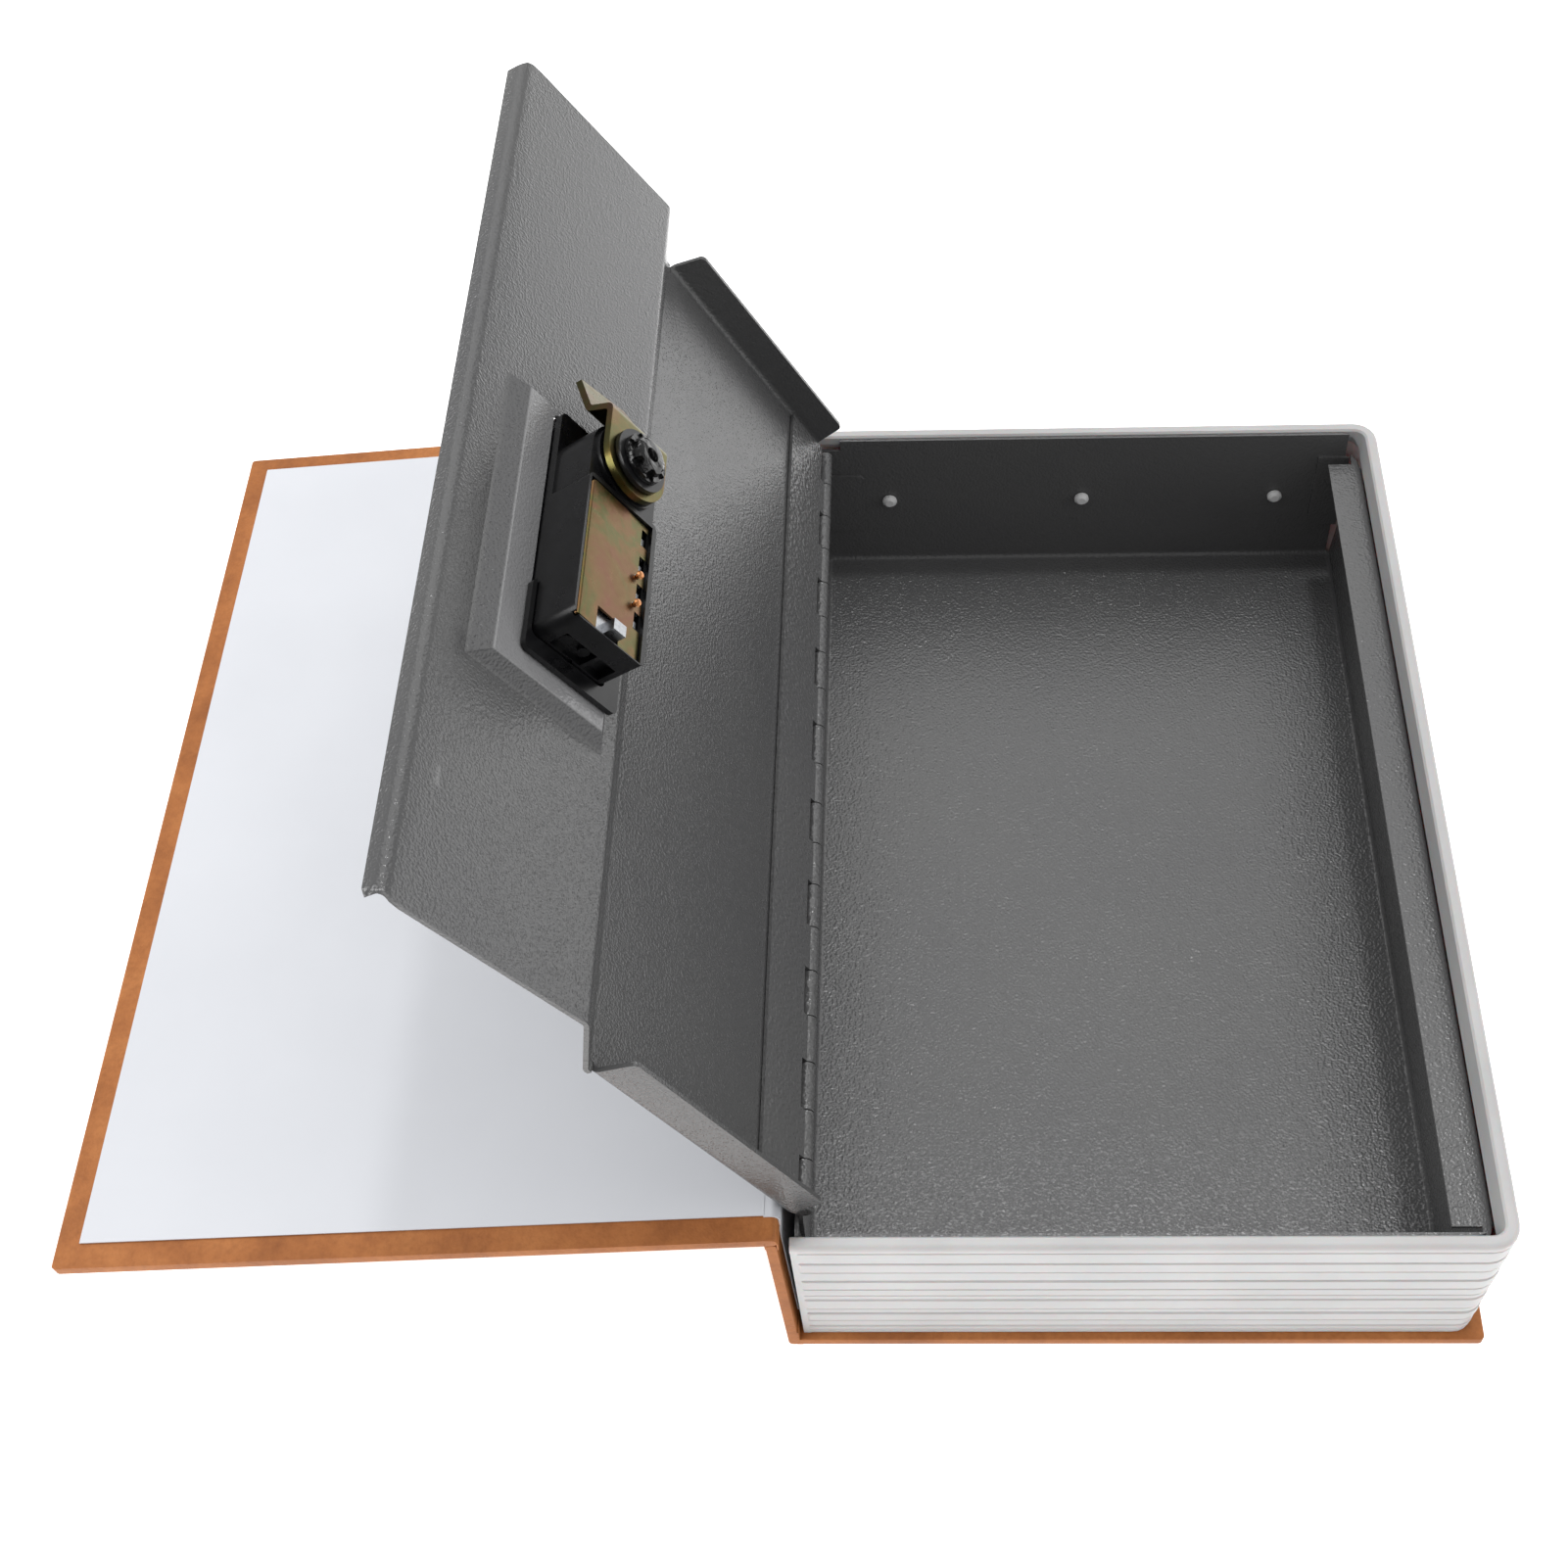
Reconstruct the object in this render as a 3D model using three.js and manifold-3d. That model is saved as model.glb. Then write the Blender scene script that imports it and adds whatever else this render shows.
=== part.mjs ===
// A steel cash box hidden in a book: covered boards, a plastic page block, a folded steel
// tray and a hinged steel lid with a three-wheel combination lock.
// Millimetres, +Z up. The origin is the centre of the back board's underside, +X points from
// the spine to the fore edge and +Y from tail to head. The book lies open, lid and cover raised.

import * as THREE from 'three';
import { mergeVertices } from 'three/addons/utils/BufferGeometryUtils.js';
import Module from 'manifold-3d';

const wasm = await Module();
wasm.setup();

// Clearances
const runningGap = 0.3;      // between neighbours that move or sit in turned groups
const seatGap = 0.1;         // between fixed neighbours that are square to the axes
const overrun = 1;           // how far a cutter reaches past what it cuts

// Smoothness of round forms
const bendSteps = 5;
const holeSides = 24;
const wheelSides = 40;

// Boards and paper
const boardWidth = 152.7;
const boardLength = 240;
const boardThickness = 2.6;
const boardEdgeRound = 0.5;
const boardCornerRadius = 1.2;
const paperThickness = 0.3;
const spinePaperThickness = 0.2;
const spinePaperStart = 5.5;
const coverWidth = 154.9;
const turnIn = 5.5;          // leather border left bare round the paper
const farTurnIn = 4.6;
const spineLean = THREE.MathUtils.degToRad(2.2);
const coverDroop = THREE.MathUtils.degToRad(5);
const lidOpening = THREE.MathUtils.degToRad(118.58);

// Page block frame
const frameWidth = 151.3;
const frameLength = 240;
const rimHeight = 51;
const rimWidth = 3.1;
const rimDepth = 2.6;
const rimRound = 1.2;
const rimSlope = 0.5;        // how far the rim's inner face comes in above the shelf
const frameWall = 1.1;
const frameCornerRadius = 6;
const foreEdgeInset = 0.9;   // how far the fore edge draws in at the bottom
const endInset = 1.45;
const spineEndLean = 0.6;
const endBand = 1.4;         // plain upright band where the pages meet the spine
const ridgeDepth = 0.45;
const grooveHalf = 0.5;
const ridgeHeightShares = [0, 0.05, 0.1, 0.175, 0.265, 0.32, 0.435, 0.49, 0.57, 0.67, 0.775, 0.88, 1];
const ridgeProudShares = [0.6, 0.85, 0.7, 1, 0.55, 0.9, 0.6, 0.85, 1, 0.65, 0.95, 0.8];
const coverGap = 1.6;        // between the page block and the shut cover

// Tray
const sheet = 0.8;
const bendRadius = 1.3;
const shelfHeight = 43.4;    // top face of the inward shelf
const shelfWidth = 8.4;
const shelfEndGap = 4.4;
const foreWallLean = 2.4;    // the fore-edge wall leans out by this much up to the shelf
const foreGap = 0.35;        // between the shelf's fold and the page frame
const endWallHeight = 50.2;
const hingeWallHeight = 47.0;
const tabWidth = 11.2;
const tabBottom = 16;
const tabTop = 37.4;
const tabRound = 2;
const studDiameter = 4;
const studShank = 2;
const studHeadDepth = 1.5;
const studHeight = 27.5;
const studPitch = 53.6;
const studFirst = 19.5;      // from the frame's spine end

// Piano hinge
const pinHeight = 49.6;
const pinInset = 2.55;       // from the frame's spine end
const pinDiameter = 1.9;
const knuckleDiameter = 3.6;
const knuckleCount = 19;
const knuckleGap = 0.3;
const leafThickness = 0.8;
const leafOffset = 0.9;      // the leaf's far face from the pin's centre plane
const trayLeafDepth = 13;
const lidLeafWidth = 17.8;
const leafNotch = 2.6;
const hingeEndGap = 5;

// Lid, in its closed attitude, measured from the hinge pin
const lidSheet = 1.0;
const lidFaceRise = 0.2;     // the lid's inner face above the pin
const lidStart = 4.1;
const foldReach = 75.4;
const rampReach = 88.8;
const rampDrop = 10.05;
const freeReach = 140.2;
const freeDrop = 5.6;
const lidBend = 1.4;
const lipHeight = 3.6;
const lidEndGap = 2.8;
const flangeDepth = 8.9;
const flangeNearTaper = 1.7;
const flangeFarTaper = 1.5;
const flangeFarStart = 74.3;
const flangeRound = 1.8;
const lowerCornerRound = 7;

// Lock well, in the lower panel's own frame: s runs to the free edge, h towards the inside
const wellDepth = 3;
const wellStart = 3.6;
const wellEnd = 42.8;
const wellTail = -55.6;
const wellHead = 18.8;
const wellSlopeSide = 4;
const wellSlopeFree = 5.2;
const wellSlopeEnds = 3;

// Lock housing
const lockCentre = 20.4;
const housingWidth = 20.2;
const housingWall = 1.6;
const housingTail = -44.6;
const housingHead = -8;
const housingTop = 15;
const housingBottom = 1.7;
const housingRound = 1.6;
const housingTailRound = 2.6;
const shoulderWidth = 19.2;  // the housing round the knob's shaft
const shoulderTop = 14.2;
const housingBaseHead = 14.2;
const housingBaseTop = 5;
const endPocketStart = 12.6; // moulded pocket in the tail end
const endPocketEnd = 26.4;
const endPocketTop = 9.8;
const endPocketBottom = 5.2;
const endPocketDepth = 1.9;
const endPocketRib = 0.9;
const ejectorDiameter = 2.6;
const ejectorRise = 0.8;
const coverLedge = 0.9;
const crossWall = 1.1;
const bossDiameter = 17.8;
const bossTop = 15.4;
const knobCentre = 0.5;
const holeMargin = 0.35;

// Lock cover plate
const plateThickness = 0.8;
const plateTail = -44;
const plateHead = -9.4;
const plateNear = 11.8;
const plateFar = 29.6;
const plateNotchDepth = 2;
const plateNotchLength = 4.2;
const plateRoll = 0.7;       // round of the plate's long outer edge
const leverSlotStart = 17.6;
const leverSlotEnd = 24.2;
const leverSlotDepth = 5.5;
const rivetDiameter = 1.9;
const rivetRise = 0.6;
const rivetInset = 2.3;

// Wheels
const wheelCount = 3;
const wheelPitch = 7.2;
const wheelWidth = 5.2;
const wheelRadius = 7.7;
const wheelHeight = 3.5;
const wheelFirst = -30.9;
const wheelFaces = 10;
const wheelGroove = 0.55;
const spindleDiameter = 3;
const spindleClearance = 0.15;
const ringRadius = 6.6;
const ringWidth = 1.3;
const ringNotch = 1.4;

// Detent spring
const springThickness = 0.35;
const springWidth = 16.2;
const springHook = 1.6;      // cut-outs in its edge strip under the plate's notches
const springFingerWidth = 3.2;
const springDip = 1.5;

// Reset lever
const leverPost = 3.4;
const leverPostDepth = 2.6;
const leverRise = 1.7;
const leverCentreY = -41.75;
const leverRestCentre = 19.6;
const leverBlockWidth = 7.4;
const leverBlockBottom = 11.1;
const leverWall = 1.1;       // the housing's wall behind the lever

// Knob and cam
const bezelThickness = 1.2;
const bezelFace = -1.5;      // outermost face of the bezel
const bezelStart = 8.6;
const bezelEnd = 31.2;
const bezelTail = -48.4;
const bezelHead = 13.6;
const bezelRound = 2.4;
const bezelWall = 1.4;
const windowWidth = 14.2;
const knobDiscDiameter = 15;
const knobDiscThickness = 1.6;
const gripWidth = 4.6;
const gripLength = 13.6;
const gripHeight = 4.4;
const shaftDiameter = 8;
const shaftClearance = 0.15;
const squareSize = 5;
const camThickness = 1.5;
const camTop = 17.5;
const camWidth = 16.9;
const camReach = 27.4;
const camFlat = 10.3;
const camDropReach = 13.1;
const camFootHeight = 11.2;
const camTipHeight = 5.4;
const camTipCut = 4.6;       // how much shorter the cam is on its other side
const camTipRound = 2.2;
const camBend = 1.2;
const washerDiameter = 13.8;
const washerThickness = 1;
const screwDiameter = 10.8;
const screwFlange = 1.4;
const screwHeight = 2.7;
const screwSockets = 7;
const screwSocketRadius = 1.2;

// Lock clip
const clipThickness = 1.3;
const clipStart = 5.8;
const clipEnd = 31.9;
const clipTail = -48.7;
const clipHead = -31.6;
const clipRound = 1.6;

// Derived places
const boardHalf = boardWidth / 2;
const frameStart = -boardHalf;
const frameEnd = frameStart + frameWidth;
const frameHalf = frameLength / 2;
const frameBottom = boardThickness + seatGap;
const bookTop = rimHeight + coverGap + paperThickness + boardThickness;
const creaseRadius = boardThickness / 2;
const creaseX = frameStart - runningGap - creaseRadius;
const creaseTopHeight = bookTop - creaseRadius;
const pinX = frameStart + pinInset;
const knuckleRadius = knuckleDiameter / 2;
const trayBottom = boardThickness + seatGap;
const trayFloor = trayBottom + sheet;
const endWallOuter = frameHalf - rimWidth - seatGap;
const endWallInner = endWallOuter - sheet;
const hingeWallInner = pinX - leafOffset - seatGap;
const hingeWallOuter = hingeWallInner - sheet;
const shelfOuter = frameEnd - rimWidth - rimSlope - foreGap;
const rimSlopeFoot = shelfHeight + runningGap;
const lidHalf = endWallInner - lidEndGap;
const lidInner = lidFaceRise;

const finish = (name, color, roughness, metalness) =>
  Object.assign(new THREE.MeshStandardMaterial({ color, roughness, metalness }), { name });
const leatherette = finish('leatherette', 0xb07040, 0.7, 0);
const paper = finish('paper', 0xe4e6ea, 0.85, 0);
const pagePlastic = finish('page_plastic', 0xdcdcdc, 0.45, 0);
const greyPaint = finish('grey_paint', 0x636363, 0.45, 0.35);
const pinSteel = finish('pin_steel', 0x8a8a8c, 0.4, 0.8);
const blackPlastic = finish('black_plastic', 0x141414, 0.4, 0);
const zincPlate = finish('yellow_zinc', 0xb39a62, 0.32, 0.9);
const silverMetal = finish('silver_metal', 0xc2c4c6, 0.3, 0.9);
const copperRivet = finish('copper', 0xc98a52, 0.3, 0.9);
const wheelPlastic = finish('wheel_plastic', 0xe9e7e0, 0.45, 0);

const part = new THREE.Group();

function addMesh(parent, name, geometry, material) {
  const mesh = new THREE.Mesh(geometry, material);
  mesh.name = name;
  parent.add(mesh);
  return mesh;
}

function asSolid(geometry) {
  const bare = geometry.index ? geometry.toNonIndexed() : geometry.clone();
  bare.deleteAttribute('normal');
  bare.deleteAttribute('uv');
  const merged = mergeVertices(bare, 1e-4);
  return new wasm.Manifold(new wasm.Mesh({
    numProp: 3,
    vertProperties: new Float32Array(merged.attributes.position.array),
    triVerts: new Uint32Array(merged.index.array),
  }));
}

function asGeometry(solid) {
  const mesh = solid.getMesh();
  const geometry = new THREE.BufferGeometry();
  geometry.setAttribute('position', new THREE.BufferAttribute(new Float32Array(mesh.vertProperties), 3));
  geometry.setIndex(new THREE.BufferAttribute(new Uint32Array(mesh.triVerts), 1));
  geometry.computeVertexNormals();
  return geometry;
}

function join(...geometries) {
  return asGeometry(geometries.map(asSolid).reduce((whole, next) => whole.add(next)));
}

function cut(geometry, ...cutters) {
  return asGeometry(cutters.map(asSolid).reduce((rest, cutter) => rest.subtract(cutter), asSolid(geometry)));
}

function common(geometry, other) {
  return asGeometry(asSolid(geometry).intersect(asSolid(other)));
}

// A shape drawn in X and Z, pushed along Y from one place to another.
function alongY(shape, fromY, toY) {
  const geometry = new THREE.ExtrudeGeometry(shape, { depth: toY - fromY, bevelEnabled: false, curveSegments: bendSteps });
  return geometry.rotateX(Math.PI / 2).translate(0, toY, 0);
}

// A shape drawn in X and Y, pushed up from one height to another.
function upZ(shape, fromZ, toZ) {
  const geometry = new THREE.ExtrudeGeometry(shape, { depth: toZ - fromZ, bevelEnabled: false, curveSegments: bendSteps });
  return geometry.translate(0, 0, fromZ);
}

// A shape drawn in Y and Z, pushed along X.
function alongX(shape, fromX, toX) {
  const geometry = new THREE.ExtrudeGeometry(shape, { depth: toX - fromX, bevelEnabled: false, curveSegments: bendSteps });
  return geometry.rotateX(Math.PI / 2).rotateZ(Math.PI / 2).translate(fromX, 0, 0);
}

function block(x0, x1, y0, y1, z0, z1) {
  const geometry = new THREE.BoxGeometry(x1 - x0, y1 - y0, z1 - z0);
  return geometry.translate((x0 + x1) / 2, (y0 + y1) / 2, (z0 + z1) / 2);
}

function rodAlongY(x, z, radius, y0, y1, sides = holeSides) {
  const geometry = new THREE.CylinderGeometry(radius, radius, y1 - y0, sides);
  return geometry.translate(x, (y0 + y1) / 2, z);
}

function rodUpZ(x, y, radius, z0, z1, sides = holeSides) {
  const geometry = new THREE.CylinderGeometry(radius, radius, z1 - z0, sides).rotateX(Math.PI / 2);
  return geometry.translate(x, y, (z0 + z1) / 2);
}

// A rectangle whose corners are rounded, each by its own radius, from the low corner round.
function roundedBox(x0, x1, y0, y1, radii) {
  const [lowLeft, lowRight, highRight, highLeft] = Array.isArray(radii) ? radii : [radii, radii, radii, radii];
  const shape = new THREE.Shape();
  shape.moveTo(x0 + lowLeft, y0);
  shape.lineTo(x1 - lowRight, y0);
  if (lowRight) shape.absarc(x1 - lowRight, y0 + lowRight, lowRight, -Math.PI / 2, 0);
  shape.lineTo(x1, y1 - highRight);
  if (highRight) shape.absarc(x1 - highRight, y1 - highRight, highRight, 0, Math.PI / 2);
  shape.lineTo(x0 + highLeft, y1);
  if (highLeft) shape.absarc(x0 + highLeft, y1 - highLeft, highLeft, Math.PI / 2, Math.PI);
  shape.lineTo(x0, y0 + lowLeft);
  if (lowLeft) shape.absarc(x0 + lowLeft, y0 + lowLeft, lowLeft, Math.PI, Math.PI * 1.5);
  return shape;
}

function polygon(points) {
  const shape = new THREE.Shape();
  points.forEach(([x, y], index) => {
    if (index) shape.lineTo(x, y);
    else shape.moveTo(x, y);
  });
  return shape;
}

// Folded sheet in section. The points follow one face; the sheet lies to the left of the way
// they run, and every inner fold gets the same radius.
function foldedSheet(points, thickness, radius) {
  const face = points.map(([x, y]) => new THREE.Vector2(x, y));
  const directions = face.slice(1).map((point, index) => point.clone().sub(face[index]).normalize());
  const left = (direction) => new THREE.Vector2(-direction.y, direction.x);
  const half = thickness / 2;
  const middle = face.map((point, index) => {
    if (index === 0) return point.clone().addScaledVector(left(directions[0]), half);
    if (index === face.length - 1) return point.clone().addScaledVector(left(directions[index - 1]), half);
    const mitre = left(directions[index - 1]).add(left(directions[index])).normalize();
    return point.clone().addScaledVector(mitre, half / mitre.dot(left(directions[index])));
  });
  const stations = [{ at: middle[0], normal: left(directions[0]) }];
  for (let index = 1; index < middle.length - 1; index += 1) {
    const turn = Math.atan2(directions[index - 1].cross(directions[index]), directions[index - 1].dot(directions[index]));
    const reach = (radius + half) * Math.tan(Math.abs(turn) / 2);
    const start = middle[index].clone().addScaledVector(directions[index - 1], -reach);
    const side = Math.sign(turn);
    const centre = start.clone().addScaledVector(left(directions[index - 1]), side * (radius + half));
    for (let step = 0; step <= bendSteps; step += 1) {
      const angle = turn * step / bendSteps;
      const normal = left(directions[index - 1]).rotateAround(new THREE.Vector2(), angle);
      stations.push({ at: centre.clone().addScaledVector(normal, -side * (radius + half)), normal });
    }
  }
  stations.push({ at: middle.at(-1), normal: left(directions.at(-1)) });
  const upper = stations.map(({ at, normal }) => at.clone().addScaledVector(normal, half));
  const lower = stations.map(({ at, normal }) => at.clone().addScaledVector(normal, -half));
  return new THREE.Shape([...lower, ...upper.reverse()]);
}

// Skin over rings of points of equal count, closed by a flat cap at both ends.
function loft(rings) {
  const count = rings[0].length;
  const positions = rings.flat().flatMap((point) => [point.x, point.y, point.z]);
  const indices = [];
  for (let ring = 0; ring < rings.length - 1; ring += 1) {
    for (let index = 0; index < count; index += 1) {
      const a = ring * count + index;
      const b = ring * count + (index + 1) % count;
      indices.push(a, b, b + count, a, b + count, a + count);
    }
  }
  return { positions, indices, count, rings: rings.length };
}

function cappedLoft(rings, outline) {
  const skin = loft(rings);
  const caps = THREE.ShapeUtils.triangulateShape(outline, []);
  const clockwise = THREE.ShapeUtils.isClockWise(outline);
  const last = (skin.rings - 1) * skin.count;
  for (const [a, second, third] of caps) {
    const [b, c] = clockwise ? [third, second] : [second, third];
    skin.indices.push(a, c, b);
    skin.indices.push(last + a, last + b, last + c);
  }
  const geometry = new THREE.BufferGeometry();
  geometry.setAttribute('position', new THREE.Float32BufferAttribute(skin.positions, 3));
  geometry.setIndex(skin.indices);
  return geometry;
}

// Boards and papers

// A covered board in section, from its crease (a half round) to its squarer outer edge.
function coverSection(start, end, bottom, top) {
  const middle = (bottom + top) / 2;
  const radius = (top - bottom) / 2;
  const shape = new THREE.Shape();
  shape.moveTo(start, bottom);
  shape.lineTo(end - boardEdgeRound, bottom);
  shape.absarc(end - boardEdgeRound, bottom + boardEdgeRound, boardEdgeRound, -Math.PI / 2, 0);
  shape.lineTo(end, top - boardEdgeRound);
  shape.absarc(end - boardEdgeRound, top - boardEdgeRound, boardEdgeRound, 0, Math.PI / 2);
  shape.lineTo(start, top);
  shape.absarc(start, middle, radius, Math.PI / 2, Math.PI * 1.5);
  return shape;
}

function cornerTrim(start, end) {
  const half = boardLength / 2;
  return upZ(roundedBox(start - overrun, end, -half, half, [0, boardCornerRadius, boardCornerRadius, 0]), -bookTop, bookTop * 2);
}

function buildBackBoard() {
  const half = boardLength / 2;
  const board = upZ(
    roundedBox(-boardHalf, boardHalf, -half, half, [0, boardCornerRadius, boardCornerRadius, 0]),
    0,
    boardThickness,
  );
  addMesh(part, 'back_board', board, leatherette);
}

// The spine stands on its crease and leans out a little, as it does with the cover thrown open.
function buildSpine() {
  const spine = new THREE.Group();
  spine.position.set(creaseX, 0, creaseRadius);
  spine.rotation.y = -spineLean;
  part.add(spine);
  const half = boardLength / 2;
  const radius = creaseRadius;
  const top = creaseTopHeight - creaseRadius - runningGap - creaseRadius;
  const shape = new THREE.Shape();
  const recess = spinePaperThickness + seatGap;
  shape.moveTo(radius, 0);
  shape.lineTo(radius, spinePaperStart - recess);
  shape.lineTo(radius - recess, spinePaperStart - recess);
  shape.lineTo(radius - recess, top - boardEdgeRound);
  shape.absarc(radius - recess - boardEdgeRound, top - boardEdgeRound, boardEdgeRound, 0, Math.PI / 2);
  shape.lineTo(-radius + boardEdgeRound, top);
  shape.absarc(-radius + boardEdgeRound, top - boardEdgeRound, boardEdgeRound, Math.PI / 2, Math.PI);
  shape.lineTo(-radius, 0);
  shape.absarc(0, 0, radius, Math.PI, Math.PI * 2);
  addMesh(spine, 'spine_board', alongY(shape, -half, half), leatherette);
  const lining = block(radius - spinePaperThickness, radius, -half + turnIn, half - farTurnIn, spinePaperStart, top - boardEdgeRound);
  addMesh(spine, 'spine_endpaper', lining, paper);
  return spine;
}

// The front cover hangs from the spine's upper crease. Its group is drawn shut, with the crease
// as its origin, and then thrown open.
function buildCover(spine) {
  const cover = new THREE.Group();
  cover.position.set(0, 0, creaseTopHeight - creaseRadius);
  cover.rotation.y = -(Math.PI + coverDroop) + spineLean;
  spine.add(cover);
  const half = boardLength / 2;
  const section = coverSection(0, coverWidth, -creaseRadius, creaseRadius);
  const board = common(alongY(section, -half, half), cornerTrim(-creaseRadius, coverWidth));
  addMesh(cover, 'front_board', board, leatherette);
  const paperTop = -creaseRadius - runningGap;
  const sheetShape = roundedBox(creaseRadius, coverWidth - turnIn, -half + turnIn, half - farTurnIn, 0);
  addMesh(cover, 'front_endpaper', upZ(sheetShape, paperTop - paperThickness, paperTop), paper);
  return cover;
}

// Page block frame

// One upright section of the page frame: outer face with its page ridges and rounded rim, then
// the inner face. Each point is a distance inwards from the rim's outer line and a height.
// At the fore edge the rim's inner face slopes in down to the shelf; a plain section has no ridges.
function frameSection({ inset, fore, plain }) {
  const ridgeTop = rimHeight - rimDepth;
  const height = ridgeTop - frameBottom;
  const groove = plain ? ridgeDepth / 2 : ridgeDepth * 1.2;
  const outer = [];
  ridgeProudShares.forEach((share, index) => {
    const low = frameBottom + height * ridgeHeightShares[index];
    const high = frameBottom + height * ridgeHeightShares[index + 1];
    const proud = plain ? ridgeDepth / 2 : ridgeDepth * (1 - share);
    outer.push([groove, low], [proud, low + grooveHalf], [proud, high - grooveHalf]);
  });
  outer.push([groove, ridgeTop], [0, ridgeTop + grooveHalf]);
  for (let step = 0; step <= bendSteps; step += 1) {
    const angle = Math.PI / 2 * step / bendSteps;
    outer.push([rimRound - rimRound * Math.cos(angle), rimHeight - rimRound + rimRound * Math.sin(angle)]);
  }
  const drawnIn = outer.map(([inwards, level]) => [inwards + inset * (1 - (level - frameBottom) / (rimHeight - frameBottom)), level]);
  const wall = frameWall + ridgeDepth;
  return [
    ...drawnIn,
    [rimWidth - boardEdgeRound, rimHeight],
    [rimWidth, rimHeight - boardEdgeRound],
    [rimWidth + rimSlope * fore, THREE.MathUtils.lerp(ridgeTop, rimSlopeFoot, fore)],
    [wall, THREE.MathUtils.lerp(ridgeTop, rimSlopeFoot, fore) - rimWidth],
    [wall + inset, frameBottom],
  ];
}

// Stations along the U from the spine's tail end round the fore edge to its head end.
function frameStations() {
  const cornerX = frameEnd - frameCornerRadius;
  const cornerY = frameHalf - frameCornerRadius;
  const stations = [];
  const straight = (x, side, lean, plain) => stations.push({
    x, y: side * frameHalf, inward: new THREE.Vector2(0, -side), inset: endInset, lean, fore: 0, plain,
  });
  const corner = (side, step) => {
    const angle = side * Math.PI / 2 * (1 - step / bendSteps);
    const share = step / bendSteps;
    stations.push({
      x: cornerX + frameCornerRadius * Math.cos(angle),
      y: side * cornerY + frameCornerRadius * Math.sin(angle),
      inward: new THREE.Vector2(-Math.cos(angle), -Math.sin(angle)),
      inset: THREE.MathUtils.lerp(endInset, foreEdgeInset, share),
      lean: 0,
      fore: share,
      plain: false,
    });
  };
  const runIn = [[0, true], [endBand, true], [endBand + grooveHalf, false]];
  runIn.forEach(([along, plain]) => straight(frameStart + along, -1, spineEndLean, plain));
  straight(frameStart + endBand * 4, -1, 0, false);
  for (let step = 0; step <= bendSteps; step += 1) corner(-1, step);
  for (let step = bendSteps; step >= 0; step -= 1) corner(1, step);
  straight(frameStart + endBand * 4, 1, 0, false);
  runIn.reverse().forEach(([along, plain]) => straight(frameStart + along, 1, spineEndLean, plain));
  return stations;
}

function buildPageFrame() {
  const stations = frameStations();
  const outline = frameSection(stations[0]).map(([inwards, height]) => new THREE.Vector2(inwards, height));
  const rings = stations.map((station) => frameSection(station).map(([inwards, height]) => {
    const share = 1 - (height - frameBottom) / (rimHeight - frameBottom);
    const { x, y, inward, lean } = station;
    return new THREE.Vector3(x + inward.x * inwards + lean * share, y + inward.y * inwards, height);
  }));
  addMesh(part, 'page_frame', orientOutwards(cappedLoft(rings, outline)), pagePlastic);
}

// Turns a closed mesh the right way out by the sign of its volume.
function orientOutwards(geometry) {
  const position = geometry.attributes.position;
  const index = geometry.index.array;
  const corner = (which) => new THREE.Vector3().fromBufferAttribute(position, index[which]);
  let volume = 0;
  for (let first = 0; first < index.length; first += 3) {
    volume += corner(first).dot(corner(first + 1).cross(corner(first + 2)));
  }
  if (volume > 0) return geometry;
  const flipped = [];
  for (let first = 0; first < index.length; first += 3) flipped.push(index[first], index[first + 2], index[first + 1]);
  geometry.setIndex(flipped);
  return geometry;
}

// Tray

function trayShell() {
  const foot = shelfOuter - foreWallLean;
  const section = foldedSheet([
    [hingeWallInner, hingeWallHeight],
    [hingeWallInner, trayFloor],
    [foot, trayFloor],
    [shelfOuter, shelfHeight - sheet],
    [shelfOuter - shelfWidth, shelfHeight - sheet],
  ].reverse(), sheet, bendRadius);
  const folded = alongY(section, -endWallInner - sheet / 2, endWallInner + sheet / 2);
  const shelfTrim = [-1, 1].map((side) => {
    const near = side * (endWallInner - shelfEndGap);
    const far = side * (endWallOuter + overrun);
    return block(shelfOuter - shelfWidth - overrun, shelfOuter - bendRadius - sheet, Math.min(near, far), Math.max(near, far),
      shelfHeight - sheet - runningGap, shelfHeight + overrun);
  });
  return cut(folded, ...shelfTrim);
}

// Where the middle of the leaning fore wall's sheet stands at a height.
function foreWallAt(height) {
  const foot = shelfOuter - foreWallLean;
  return foot + foreWallLean * (height - trayFloor) / (shelfHeight - sheet - trayFloor) + sheet / 2;
}

// An end wall ends in the middle of the sheets it is welded to.
function endWall(side) {
  const left = hingeWallInner - sheet / 2;
  const bottom = trayFloor - sheet / 2;
  const step = left + knuckleDiameter + sheet * 2;
  const outline = polygon([
    [left, hingeWallHeight - sheet / 2],
    [left, bottom + bendRadius],
    [left + bendRadius, bottom],
    [foreWallAt(trayFloor) - bendRadius, bottom],
    [foreWallAt(trayFloor + bendRadius), bottom + bendRadius],
    [foreWallAt(shelfHeight - sheet * 2), shelfHeight - sheet * 2],
    [foreWallAt(shelfHeight - sheet * 2), endWallHeight],
    [step, endWallHeight],
    [step, hingeWallHeight - sheet / 2],
  ]);
  const near = side * endWallInner;
  const far = side * endWallOuter;
  return alongY(outline, Math.min(near, far), Math.max(near, far));
}

// The corner tabs are folded from the side walls and spot-welded inside the end walls.
function spineTab() {
  const start = hingeWallInner - sheet / 2;
  return roundedBox(start, hingeWallInner + tabWidth, tabBottom, tabTop, [0, tabRound * 2, tabRound, 0]);
}

function foreTab() {
  const top = shelfHeight - sheet - runningGap;
  const start = shelfOuter - shelfWidth - tabRound;
  return polygon([
    [start + tabRound * 2, tabBottom],
    [foreWallAt(tabBottom), tabBottom],
    [foreWallAt(top), top],
    [start, top],
    [start, tabBottom + tabRound * 2],
  ]);
}

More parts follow.
